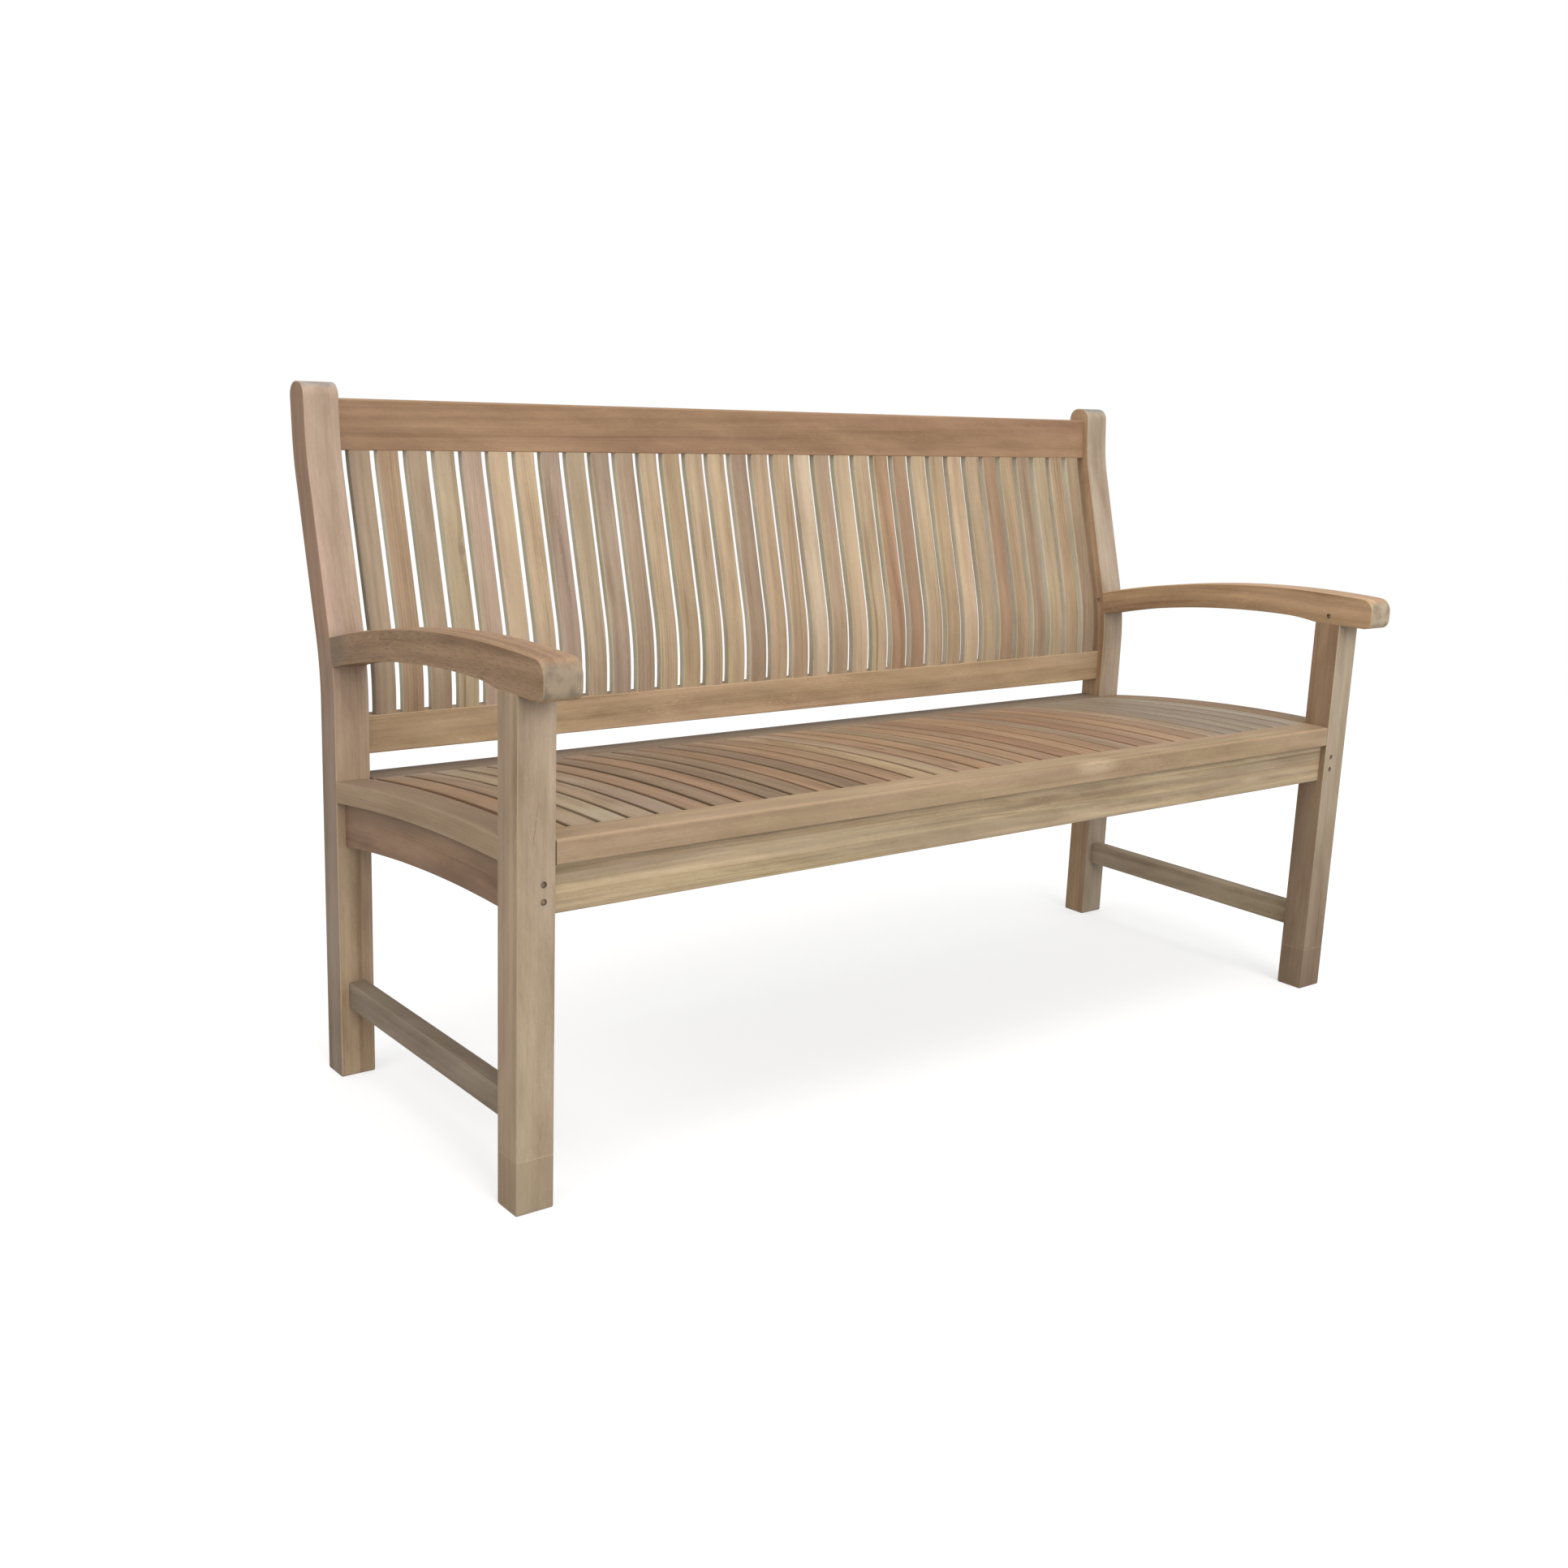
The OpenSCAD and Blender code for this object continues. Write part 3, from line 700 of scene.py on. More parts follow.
@dataclass
class EndFrame:
    """One end of the bench: leg, post, arm, end board, side apron and stretcher."""

    side: Side
    places: Places
    back: BackCurve
    seat: Arch
    post_depth: float = 0.044
    post_round: float = 0.018
    post_straight: float = 0.300
    leg_heights: tuple[float, ...] = (0.0, 0.15, 0.42)
    round_reach: float = 0.024
    curve_points: int = 34
    seat_points: int = 26
    arm_radius: float = 1.850
    arm_crown: float = 0.060
    arm_under_radius: float = 1.658
    arm_under_crown: float = 0.100
    arm_rise: float = 0.005
    arm_rear_low: float = 0.040
    nose_round: float = 0.020
    chin_round: float = 0.013
    side_inset: float = 0.012
    apron_thickness: float = 0.025
    peg_in: float = 0.015
    apron_peg_heights: tuple[float, float] = (0.019, 0.039)
    arm_peg_rise: float = 0.012
    post_peg_height: float = 0.582
    post_peg_in: float = 0.012
    post_peg_sink: float = 0.0008
    crisp: Corners = Corners(0.0013, 0.0013)
    scribed: float = 0.066

    def span(self, near: float, far: float) -> tuple[float, float]:
        """The stretch between two distances from the bench's middle, on this side, in order."""
        a, b = self.side.value * near, self.side.value * far
        return min(a, b), max(a, b)

    def tones(self) -> dict[str, Tone]:
        """The tone of each board of this end. Each side-face tone is painted light and shade: it sets the
        board's faces at either end along X apart from its front face.
        """
        if self.side is Side.LEFT:
            return {"leg": Tone.FLAX, "leg_cheek": Tone.BISCUIT, "post": Tone.ROSE,
                    "post_cheek": Tone.NUT, "arm": Tone.HONEY, "end_board": Tone.UMBER,
                    "end_cheek": Tone.FAWN, "apron": Tone.NUT, "stretcher": Tone.STONE}
        return {"leg": Tone.LINEN, "leg_cheek": Tone.RUSSET, "post": Tone.LINEN,
                "post_cheek": Tone.AMBER, "arm": Tone.AMBER, "end_board": Tone.RUSSET,
                "end_cheek": Tone.RUSSET, "apron": Tone.UMBER, "stretcher": Tone.PALE}

    def leg_bores(self) -> tuple[Bore, ...]:
        """The two bores in the front leg's face, over the apron's tenon."""
        x = self.side.value * (self.places.inner + self.peg_in)
        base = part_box("front_apron")[0].z
        return tuple(Bore((x, self.places.leg_front, base + h), (0.0, 1.0, 0.0))
                     for h in self.apron_peg_heights)

    def arm_bore(self) -> Bore:
        """The bore in the arm's inner face, over the leg's tenon."""
        p = self.places
        y = (p.leg_front + p.leg_back) / 2.0
        return Bore((self.side.value * p.inner, y, p.leg_top + self.arm_peg_rise),
                    (float(self.side.value), 0.0, 0.0))

    def post_bore(self) -> Bore:
        """The bore in the post's inner face, over the arm's rear tenon."""
        p = self.places
        y = p.post_front + float(self.back.setback(np.array(self.post_peg_height))) + self.post_peg_in
        return Bore((self.side.value * p.inner, y, self.post_peg_height),
                    (float(self.side.value), 0.0, 0.0), sink=self.post_peg_sink)

    def check(self) -> Flaw:
        """A thin slanting check in the left leg's face, and nothing in the right one's."""
        if self.side is Side.RIGHT:
            return NO_FLAW
        middle = (-self.places.outer + 0.022, self.places.leg_front, 0.455)
        return Flaw(middle, (0.0008, 0.012, 0.040), tilt=math.radians(7.0), swell=0.0, core=0.9)

    def leg_foot(self) -> Foot | None:
        """The right leg darkens towards its foot, as painted shade low down. The left one does not."""
        return None if self.side is Side.LEFT else Foot(Tone.BARK, Tone.UMBER, 0.05, 0.42)

    def post_foot(self) -> Foot:
        """Painted light that makes the post paler under the arm: to its foot on the left, to the seat on the
        right.
        """
        if self.side is Side.LEFT:
            return Foot(Tone.SAND, Tone.STONE, 0.40, 0.62)
        return Foot(Tone.PALE, Tone.AMBER, 0.45, 0.58, 0.30)

    def front_leg(self) -> Board:
        """The front leg: a straight square post."""
        p = self.places
        x0, x1 = self.span(p.inner, p.outer)
        z = np.array([*self.leg_heights, p.leg_top + HOUSED_FLUSH])
        near = np.column_stack([np.full_like(z, p.leg_front), z])
        far = np.column_stack([np.full_like(z, p.leg_back), z])
        node = f"front_leg_{self.side.word}"
        return Board(f"{node}_board", node, Slot.LEG, near, far, x0, x1, Grain.ALONG_Z,
                     self.tones()["leg"], Sawing.PLAIN, arris=0.0013, start=Corners(0.003, 0.003),
                     end=self.crisp, bores=self.leg_bores(), flaw=self.check(), grey=0.45, sapwood=0.15,
                     dust=0.22, wear=1.8, scribed=self.scribed, cheek=self.tones()["leg_cheek"],
                     foot=self.leg_foot())

    def back_post(self) -> Board:
        """The back post: it follows the back curve and ends in a rounded top."""
        p = self.places
        x0, x1 = self.span(p.inner, p.outer)
        bent = np.linspace(self.back.low_z - 0.01, p.post_top - self.round_reach, self.curve_points)
        z = np.concatenate([[0.0, self.post_straight], bent, [p.post_top]])
        node = f"back_post_{self.side.word}"
        return Board(f"{node}_board", node, Slot.LEG, self.back.line(0.0, z),
                     self.back.line(self.post_depth, z), x0, x1, Grain.ALONG_Z, self.tones()["post"],
                     Sawing.RIFT, arris=0.0018, end=Corners(self.post_round, self.post_round, 9),
                     bores=(self.post_bore(),), grey=0.35, dust=0.15,
                     cheek=self.tones()["post_cheek"], foot=self.post_foot())

    def arm_stain(self) -> Flaw:
        """The grey stain on the left arm's rear end, and nothing on the right one's."""
        if self.side is Side.RIGHT:
            return NO_FLAW
        middle = (-self.places.outer, self.places.post_front - 0.004, 0.592)
        return Flaw(middle, (0.050, 0.052, 0.060), swell=0.0, stain=0.8)

    def arm(self) -> Board:
        """The arm: an arched board with a rounded nose, cut to the post's curve at its rear."""
        p = self.places
        high = Arch(p.leg_front + self.arm_crown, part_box(f"arm_{self.side.word}")[1].z, self.arm_radius)
        low = Arch(p.leg_front + self.arm_under_crown, p.leg_top + self.arm_rise, self.arm_under_radius)
        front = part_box(f"arm_{self.side.word}")[0].y
        rear_high = p.post_front + float(self.back.setback(high.z(np.array(p.post_front + 0.012))))
        rear_low = p.post_front + float(self.back.setback(np.array(p.leg_top - self.arm_rear_low)))
        top_y, low_y = (np.concatenate([[front], np.linspace(front + self.round_reach,
                                                             rear + HOUSED_FLUSH, self.curve_points)])
                        for rear in (rear_high, rear_low))
        rise = np.sin(np.clip((low_y - p.leg_back) / (low.crown - p.leg_back), 0.0, 1.0) * math.pi / 2.0)
        under = np.where(low_y < low.crown, p.leg_top + self.arm_rise * rise, low.z(low_y))
        x0, x1 = self.span(p.inner, p.outer)
        node = f"arm_{self.side.word}"
        return Board(f"{node}_board", node, Slot.RAIL, np.column_stack([low_y, under]),
                     high.line(top_y), x0, x1, Grain.ALONG_Y, self.tones()["arm"], Sawing.RIFT,
                     arris=0.0016, start=Corners(self.chin_round, self.nose_round, 9),
                     bores=(self.arm_bore(),), flaw=self.arm_stain(), figure=1.9,
                     grey=0.3, sapwood=0.30, dust=0.55, wear=3.0,
                     open_grain=0.9 if self.side is Side.LEFT else 0.2)

    def seat_end_board(self) -> Board:
        """The curved board that closes the seat between leg and post."""
        p = self.places
        y = np.linspace(p.leg_back - HOUSED_FLUSH, p.post_front + HOUSED_FLUSH, self.seat_points)
        x0, x1 = self.span(p.outer - END_BOARD_WIDTH, p.outer)
        node = f"seat_end_board_{self.side.word}"
        return Board(f"{node}_board", node, Slot.RAIL, self.seat.line(y, SEAT_THICKNESS),
                     self.seat.line(y), x0, x1, Grain.ALONG_Y, self.tones()["end_board"], Sawing.RIFT,
                     grey=0.4, cheek=self.tones()["end_cheek"])

    def apron_patch(self) -> Flaw:
        """A darker patch low on the left side apron, and nothing on the right one's."""
        if self.side is Side.RIGHT:
            return NO_FLAW
        middle = (-self.places.outer, -0.105, 0.355)
        return Flaw(middle, (0.050, 0.085, 0.030), swell=0.0, core=0.45)

    def side_apron(self) -> Board:
        """The side apron, with an arched lower edge."""
        p = self.places
        y = np.linspace(p.leg_back - HOUSED, p.post_front + HOUSED, self.seat_points)
        low = Arch(p.leg_front + APRON_CROWN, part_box("front_apron")[0].z, APRON_RADIUS)
        outer = p.outer - self.side_inset
        x0, x1 = self.span(outer - self.apron_thickness, outer)
        node = f"side_apron_{self.side.word}"
        return Board(f"{node}_board", node, Slot.UNDER, low.line(y),
                     self.seat.line(y, SEAT_THICKNESS), x0, x1, Grain.ALONG_Y, self.tones()["apron"],
                     Sawing.QUARTER, arris=0.0018, flaw=self.apron_patch(), grey=0.6, sapwood=0.25)

    def side_stretcher(self) -> Board:
        """The low stretcher between leg and post."""
        p = self.places
        node = f"side_stretcher_{self.side.word}"
        low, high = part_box(node)
        y = np.array([p.leg_back - HOUSED, p.post_front + HOUSED])
        near = np.column_stack([y, np.full_like(y, low.z)])
        far = np.column_stack([y, np.full_like(y, high.z)])
        return Board(f"{node}_board", node, Slot.UNDER, near, far, low.x, high.x, Grain.ALONG_Y,
                     self.tones()["stretcher"], Sawing.RIFT, grey=0.35, sapwood=0.2)

    def boards(self) -> list[Board]:
        """Every board of this end."""
        return [self.front_leg(), self.back_post(), self.arm(), self.seat_end_board(),
                self.side_apron(), self.side_stretcher()]

    def pegs(self) -> list[tuple[str, Bore]]:
        """Every peg of this end, by name and bore."""
        names = ("peg_apron_lower", "peg_apron_upper", "peg_arm", "peg_post")
        bores = (*self.leg_bores(), self.arm_bore(), self.post_bore())
        return [(f"{name}_{self.side.word}", bore) for name, bore in zip(names, bores)]


def cross_section(y0: float, y1: float, z0: float, z1: float) -> tuple[np.ndarray, np.ndarray]:
    """The near and far side of a rectangle in the side view, from the bottom up."""
    z = np.array([z0, z1])
    return np.column_stack([np.full(2, y0), z]), np.column_stack([np.full(2, y1), z])


@dataclass
class BackPanel:
    """The back: a top rail, a lower rail and a row of curved slats, set a hair behind their faces."""

    places: Places
    back: BackCurve
    inset: float = 0.011
    rail_thickness: float = 0.025
    slat_thickness: float = 0.0128
    slat_arris: float = 0.0012
    slat_setback: float = 0.0007
    rail_ease: float = 0.0010
    slat_points: int = 30
    most_shift: float = 0.5 * MM
    most_trim: float = 0.1 * MM
    seed: int = 700
    tones: tuple[Tone, ...] = tones_named(
        "UMBER RUSSET UMBER STRAW ROSE SAND SAND MAUVE STRAW MAUVE UMBER SAND "
        "FAWN BISCUIT SAND UMBER FAWN FAWN PALE BISCUIT SAND SAND HONEY RUSSET "
        "SAND FAWN SAND BISCUIT RUSSET FAWN UMBER STRAW FAWN UMBER")

    def top_rail(self) -> Board:
        """The top rail, which leans with the posts."""
        low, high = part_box("top_rail")
        z = np.linspace(low.z, high.z, 9)
        near = self.back.line(self.inset, z)
        far = self.back.line(self.inset + self.rail_thickness, z)
        ease = Corners(self.rail_ease, self.rail_ease)
        swirl = Flaw((0.330, float(near[0, 0]), low.z + 0.012), (0.130, 0.10, 0.030), core=0.0)
        return Board("top_rail_board", "top_rail", Slot.RAIL, near, far, -self.places.inner,
                     self.places.inner, Grain.ALONG_X, Tone.TAWNY, Sawing.QUARTER, arris=0.0006,
                     start=ease, end=Corners(0.003, 0.003, 4), flaw=swirl, figure=0.8, grey=0.1,
                     dust=0.35)

    def lower_rail(self) -> Board:
        """The lower rail, under the slats."""
        low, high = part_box("lower_back_rail")
        y = self.places.post_front + self.inset
        near, far = cross_section(y, y + self.rail_thickness, low.z, high.z)
        ease = Corners(self.rail_ease, self.rail_ease)
        return Board("lower_back_rail_board", "lower_back_rail", Slot.RAIL, near, far,
                     -self.places.inner, self.places.inner, Grain.ALONG_X, Tone.WHEAT,
                     Sawing.QUARTER, arris=0.0006, start=ease, end=ease, grey=0.2, dust=0.4)

    def flaw(self, number: int, x: float) -> Flaw:
        """The knot of the fourth slat and the dark streak of the eighth, each from its slat's left edge."""
        def on_face(across: float, height: float) -> tuple[float, float, float]:
            """A point on the slat's front face."""
            depth = self.places.post_front + self.inset + float(self.back.setback(np.array(height)))
            return x + across, depth, height

        if number == 4:
            return Flaw(on_face(0.024, 0.70), reach=(0.006, 0.02, 0.016))
        if number == 8:
            return Flaw(on_face(0.016, 0.69), reach=(0.0045, 0.06, 0.13), tilt=math.radians(-3.0),
                        swell=0.004, core=0.6)
        return NO_FLAW

    def slat(self, number: int) -> Board:
        """One curved slat between the rails."""
        node = f"back_slat_{number:02d}"
        low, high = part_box(node)
        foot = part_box("lower_back_rail")[1].z
        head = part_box("top_rail")[0].z
        z = np.linspace(foot - HOUSED, head + HOUSED, self.slat_points)
        rng = np.random.default_rng(self.seed + number)
        shift = rng.uniform(-self.most_shift, self.most_shift)
        trim = rng.uniform(0.0, self.most_trim)
        sawing = (Sawing.QUARTER, Sawing.RIFT)[int(rng.integers(2))]
        face = self.inset + self.slat_setback
        # The slats' sides take a pale tone of their own: painted light on sides that the neighbouring slats
        # shade
        return Board(f"{node}_board", node, Slot.SLAT, self.back.line(face, z),
                     self.back.line(face + self.slat_thickness, z), low.x + shift + trim,
                     high.x + shift - trim, Grain.ALONG_Z, self.tones[number - 1], sawing,
                     arris=self.slat_arris, flaw=self.flaw(number, low.x), figure=rng.uniform(1.0, 1.9),
                     grey=rng.uniform(0.1, 0.4), cheek=Tone.SAWN)

    def boards(self) -> list[Board]:
        """Every board of the back."""
        return [self.top_rail(), self.lower_rail()] + [self.slat(k + 1) for k in range(len(self.tones))]


@dataclass
class SeatPanel:
    """The seat: front and rear rails, a row of slats that follow its curve, and their batten."""

    places: Places
    seat: Arch
    front_ease: float = 0.004
    tight: float = 0.0015
    slat_width: float = 0.031
    slat_swelling: float = 0.0013
    slat_thickness: float = 0.015
    slat_arris: float = 0.0016
    slat_points: int = 28
    most_shift: float = 0.6 * MM
    most_trim: float = 0.2 * MM
    bleached_slats: tuple[int, ...] = (2, 3, 4)
    bleached_y: float = -0.205
    groups: int = 5
    seed: int = 1700
    tones: tuple[Tone, ...] = tones_named(
        "NUT UMBER FLAX UMBER MAUVE NUT BARK NUT BARK BARK NUT BARK "
        "NUT NUT FAWN UMBER RUSSET HONEY UMBER HONEY RUSSET TAWNY HONEY HONEY "
        "UMBER TAWNY NUT HONEY NUT UMBER STONE STONE STONE STONE ASH")

    def front_rail(self) -> Board:
        """The front rail, with a rounded upper front edge."""
        low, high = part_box("seat_front_rail")
        near = np.array([[low.y, low.z], [low.y, float(self.seat.z(np.array(low.y)))]])
        far = np.array([[high.y, low.z], [high.y, float(self.seat.z(np.array(high.y)))]])
        patch = Flaw((0.165, low.y, high.z - 0.008), (0.060, 0.030, 0.015), swell=0.0, core=0.8, stain=-1.0)
        return Board("seat_front_rail_board", "seat_front_rail", Slot.RAIL, near, far,
                     low.x - self.tight, high.x + self.tight, Grain.ALONG_X, Tone.FAWN, Sawing.PLAIN,
                     arris=0.0005,
                     start=Corners(0.0016, 0.001), end=Corners(self.front_ease, 0.0016, 5), grey=0.3,
                     sapwood=0.15, dust=0.25, flaw=patch)

    def rear_rail(self) -> Board:
        """The rear rail, behind the slats. Its dark tone paints in the shade that the back casts on it."""
        low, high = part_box("seat_rear_rail")
        near, far = cross_section(low.y, high.y, low.z, high.z)
        ease = Corners(0.0016, 0.0016)
        return Board("seat_rear_rail_board", "seat_rear_rail", Slot.RAIL, near, far,
                     -self.places.inner, self.places.inner, Grain.ALONG_X, Tone.BARK, Sawing.RIFT,
                     arris=0.0006, start=ease, end=ease, grey=0.6)

    def bleached(self, number: int, x: float) -> Flaw:
        """A bleached patch near the front of a few slats, and nothing on the others."""
        if number not in self.bleached_slats:
            return NO_FLAW
        middle = (x + self.slat_width / 2.0, self.bleached_y, float(self.seat.z(np.array(self.bleached_y))))
        return Flaw(middle, (0.030, 0.060, 0.030), swell=0.0, core=0.6, stain=-1.0)

    def slat(self, group: int, place: int, per_group: int) -> Board:
        """One slat of a group, curved like the seat."""
        number = (group - 1) * per_group + place + 1
        node = f"seat_slats_{group}"
        low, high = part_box(node)
        pitch = (high.x - low.x - self.slat_width) / (per_group - 1)
        front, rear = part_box("seat_front_rail")[1].y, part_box("seat_rear_rail")[0].y
        y = np.linspace(front - HOUSED, rear + HOUSED, self.slat_points)
        rng = np.random.default_rng(self.seed + number)
        x = low.x + place * pitch + rng.uniform(-self.most_shift, self.most_shift)
        trim = rng.uniform(0.0, self.most_trim)
        sawing = list(Sawing)[int(rng.integers(len(Sawing)))]
        return Board(f"seat_slat_{number:02d}_board", node, Slot.SLAT,
                     self.seat.line(y, self.slat_thickness), self.seat.line(y),
                     x + trim - self.slat_swelling, x + self.slat_width - trim + self.slat_swelling,
                     Grain.ALONG_Y, self.tones[number - 1], sawing, arris=self.slat_arris,
                     flaw=self.bleached(number, x), figure=rng.uniform(1.2, 2.0),
                     grey=rng.uniform(0.1, 0.5), sapwood=rng.uniform(0.1, 0.4), dust=0.35)

    def batten(self) -> Board:
        """The batten under the middle of the slats."""
        low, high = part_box("seat_batten")
        y = np.linspace(low.y, high.y, 5)
        near = np.column_stack([y, np.full_like(y, low.z)])
        clear = self.places.outer - END_BOARD_WIDTH
        ease = Corners(0.001, 0.001, 2)
        return Board("seat_batten_board", "seat_batten", Slot.UNDER, near,
                     self.seat.line(y, self.slat_thickness), -clear, clear, Grain.ALONG_X, Tone.UMBER,
                     arris=0.001, start=ease, end=ease)

    def boards(self) -> list[Board]:
        """Every board of the seat."""
        per_group = len(self.tones) // self.groups
        slats = [self.slat(group + 1, place, per_group)
                 for group in range(self.groups) for place in range(per_group)]
        return [self.front_rail(), self.rear_rail(), self.batten()] + slats


@dataclass
class Underframe:
    """What ties the two ends together under the seat: the front and rear aprons and a brace."""

    places: Places
    seat: Arch
    brace_drop: float = 0.008
    brace_points: int = 22

    def front_apron(self) -> Board:
        """The front apron, pale and streaked with sapwood, with an eye near its middle."""
        low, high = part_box("front_apron")
        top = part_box("seat_front_rail")[0].z
        near, far = cross_section(low.y, high.y, low.z, top)
        ease = Corners(0.0018, 0.001)
        eye = Flaw((0.075, low.y, 0.392), (0.060, 0.05, 0.007))
        return Board("front_apron_board", "front_apron", Slot.RAIL, near, far, -self.places.inner,
                     self.places.inner, Grain.ALONG_X, Tone.STRAW, Sawing.RIFT, arris=0.0006,
                     start=ease, end=ease, flaw=eye, figure=1.8, grey=0.4, sapwood=0.75, dust=0.25)

    def rear_apron(self) -> Board:
        """The rear apron."""
        low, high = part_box("rear_apron")
        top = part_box("seat_rear_rail")[0].z
        near, far = cross_section(low.y, high.y, low.z, top)
        return Board("rear_apron_board", "rear_apron", Slot.UNDER, near, far, -self.places.inner,
                     self.places.inner, Grain.ALONG_X, Tone.BISCUIT, arris=0.0006)

    def brace(self) -> Board:
        """The brace from apron to apron, which carries the batten."""
        p = self.places
        low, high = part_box("centre_brace")
        front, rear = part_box("front_apron")[1].y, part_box("rear_apron")[0].y
        y = np.linspace(front - HOUSED, rear + HOUSED, self.brace_points)
        under = Arch(p.leg_front + APRON_CROWN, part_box("front_apron")[0].z + self.brace_drop, APRON_RADIUS)
        top = self.seat.line(y, SEAT_THICKNESS)
        return Board("centre_brace_board", "centre_brace", Slot.UNDER, under.line(y), top, low.x,
                     high.x, Grain.ALONG_Y, Tone.UMBER, arris=0.001)

    def boards(self) -> list[Board]:
        """Every board of the underframe."""
        return [self.front_apron(), self.rear_apron(), self.brace()]


# ---- Finishes ----


class Graph:
    """Short calls for the nodes of one material."""

    def __init__(self, name: str) -> None:
        """Starts a material with an empty node tree."""
        self.material = bpy.data.materials.new(name)
        self.material.use_nodes = True
        self.tree = self.material.node_tree
        self.tree.nodes.clear()

    def node(self, kind: str, **settings: object) -> bpy.types.Node:
        """Adds a node and sets its properties."""
        made = self.tree.nodes.new(kind)
        for key, value in settings.items():
            setattr(made, key, value)
        return made

    def feed(self, socket: Socket, value: object) -> None:
        """Links a socket to another, or sets it to a plain value."""
        if isinstance(value, Socket):
            self.tree.links.new(value, socket)
        else:
            socket.default_value = value

    def math(self, operation: str, *values: object) -> Socket:
        """One Math node."""
        made = self.node("ShaderNodeMath", operation=operation)
        for socket, value in zip(made.inputs, values):
            self.feed(socket, value)
        return made.outputs[0]

    def times(self, a: object, b: object) -> Socket:
        """The product of two numbers."""
        return self.math("MULTIPLY", a, b)

    def vector(self, operation: str, *values: object) -> Socket:
        """One Vector Math node."""
        made = self.node("ShaderNodeVectorMath", operation=operation)
        for socket, value in zip(made.inputs, values):
            self.feed(socket, value)
        return made.outputs["Value" if operation in ("DOT_PRODUCT", "LENGTH") else "Vector"]

    def attribute(self, name: str, output: str = "Vector") -> Socket:
        """Reads a piece's attribute."""
        return self.node("ShaderNodeAttribute", attribute_name=name).outputs[output]

    def split(self, vector: Socket) -> tuple[Socket, Socket, Socket]:
        """The three parts of a vector."""
        made = self.node("ShaderNodeSeparateXYZ")
        self.feed(made.inputs[0], vector)
        return made.outputs[0], made.outputs[1], made.outputs[2]

    def join(self, x: object, y: object, z: object) -> Socket:
        """A vector from three parts."""
        made = self.node("ShaderNodeCombineXYZ")
        for socket, value in zip(made.inputs, (x, y, z)):
            self.feed(socket, value)
        return made.outputs[0]

    def noise(self, vector: Socket, stretch: tuple[float, float, float], detail: float = 2.0,
              roughness: float = 0.5, output: str = "Fac") -> Socket:
        """Noise on a vector that is first multiplied by stretch, in cells per metre."""
        made = self.node("ShaderNodeTexNoise")
        self.feed(made.inputs["Vector"], self.vector("MULTIPLY", vector, stretch))
        made.inputs["Scale"].default_value = 1.0
        made.inputs["Detail"].default_value = detail
        made.inputs["Roughness"].default_value = roughness
        return made.outputs[output]

    def ease(self, value: Socket, low: float, high: float, to_low: float = 0.0,
             to_high: float = 1.0) -> Socket:
        """A smooth step of value between low and high."""
        made = self.node("ShaderNodeMapRange", interpolation_type="SMOOTHSTEP")
        for socket, number in zip(made.inputs, (value, low, high, to_low, to_high)):
            self.feed(socket, number)
        return made.outputs[0]

    def mix(self, factor: object, a: object, b: object, blend: str = "MIX") -> Socket:
        """A mix of two colours."""
        made = self.node("ShaderNodeMix", data_type="RGBA", blend_type=blend)
        self.feed(made.inputs["Factor"], factor)
        self.feed(made.inputs["A"], a)
        self.feed(made.inputs["B"], b)
        return made.outputs["Result"]

    def finish(self, colour: Socket, roughness: Socket, specular: float, relief: Socket, strength: float,
               distance: float) -> bpy.types.Material:
        """Ends the tree with a rough surface, raised by a relief.

        Args:
            colour: the surface's colour.
            roughness: its roughness.
            specular: its specular level.
            relief: the height that raises it.
            strength: the relief's strength.
            distance: the relief's full height in metres.

        Returns:
            The finished material.
        """
        shader = self.node("ShaderNodeBsdfPrincipled")
        shader.inputs["Specular IOR Level"].default_value = specular
        self.feed(shader.inputs["Base Color"], colour)
        self.feed(shader.inputs["Roughness"], roughness)
        bump = self.node("ShaderNodeBump")
        bump.inputs["Strength"].default_value = strength
        bump.inputs["Distance"].default_value = distance
        self.feed(bump.inputs["Height"], relief)
        self.feed(shader.inputs["Normal"], bump.outputs[0])
        self.feed(self.node("ShaderNodeOutputMaterial").inputs[0], shader.outputs[0])
        return self.material


class Pattern(Enum):
    """Noises of the wood: cells per metre along, across and through it, then detail and roughness."""

    WANDER = ((1.1, 6.0, 6.0), 1.0, 0.4)
    BAND = ((0.42, 1.0, 1.0), 1.5, 0.5)
    CLEAR_RINGS = ((0.22, 1.1, 1.0), 1.0, 0.5)
    CLOUD = ((7.0, 24.0, 24.0), 5.0, 0.62)
    GRIT = ((150.0, 420.0, 420.0), 3.0, 0.6)
    WIDE_STREAK = ((1.3, 44.0, 44.0), 1.5, 0.5)
    STREAK = ((3.0, 150.0, 150.0), 2.0, 0.55)
    FIBRE = ((14.0, 620.0, 620.0), 2.0, 0.6)
    MINERAL = ((1.0, 85.0, 85.0), 2.0, 0.55)
    PORES = ((110.0, 1300.0, 1300.0), 1.0, 0.5)
    WARMTH = ((1.8, 26.0, 26.0), 2.0, 0.5)
    SAPWOOD = ((1.6, 62.0, 62.0), 4.0, 0.6)
    WEATHER = ((2.6, 22.0, 22.0), 3.0, 0.6)
    GAPING = ((60.0, 880.0, 880.0), 2.0, 0.6)
    DUSTY = ((9.0, 30.0, 30.0), 2.0, 0.5)
    DUST = ((130.0, 560.0, 560.0), 1.0, 0.5)
    BLOTCH = ((30.0, 48.0, 48.0), 4.0, 0.6)
    PEG_MOTTLE = ((900.0, 900.0, 900.0), 3.0, 0.7)
    PEG_CLOUD = ((220.0, 220.0, 220.0), 2.0, 0.5)


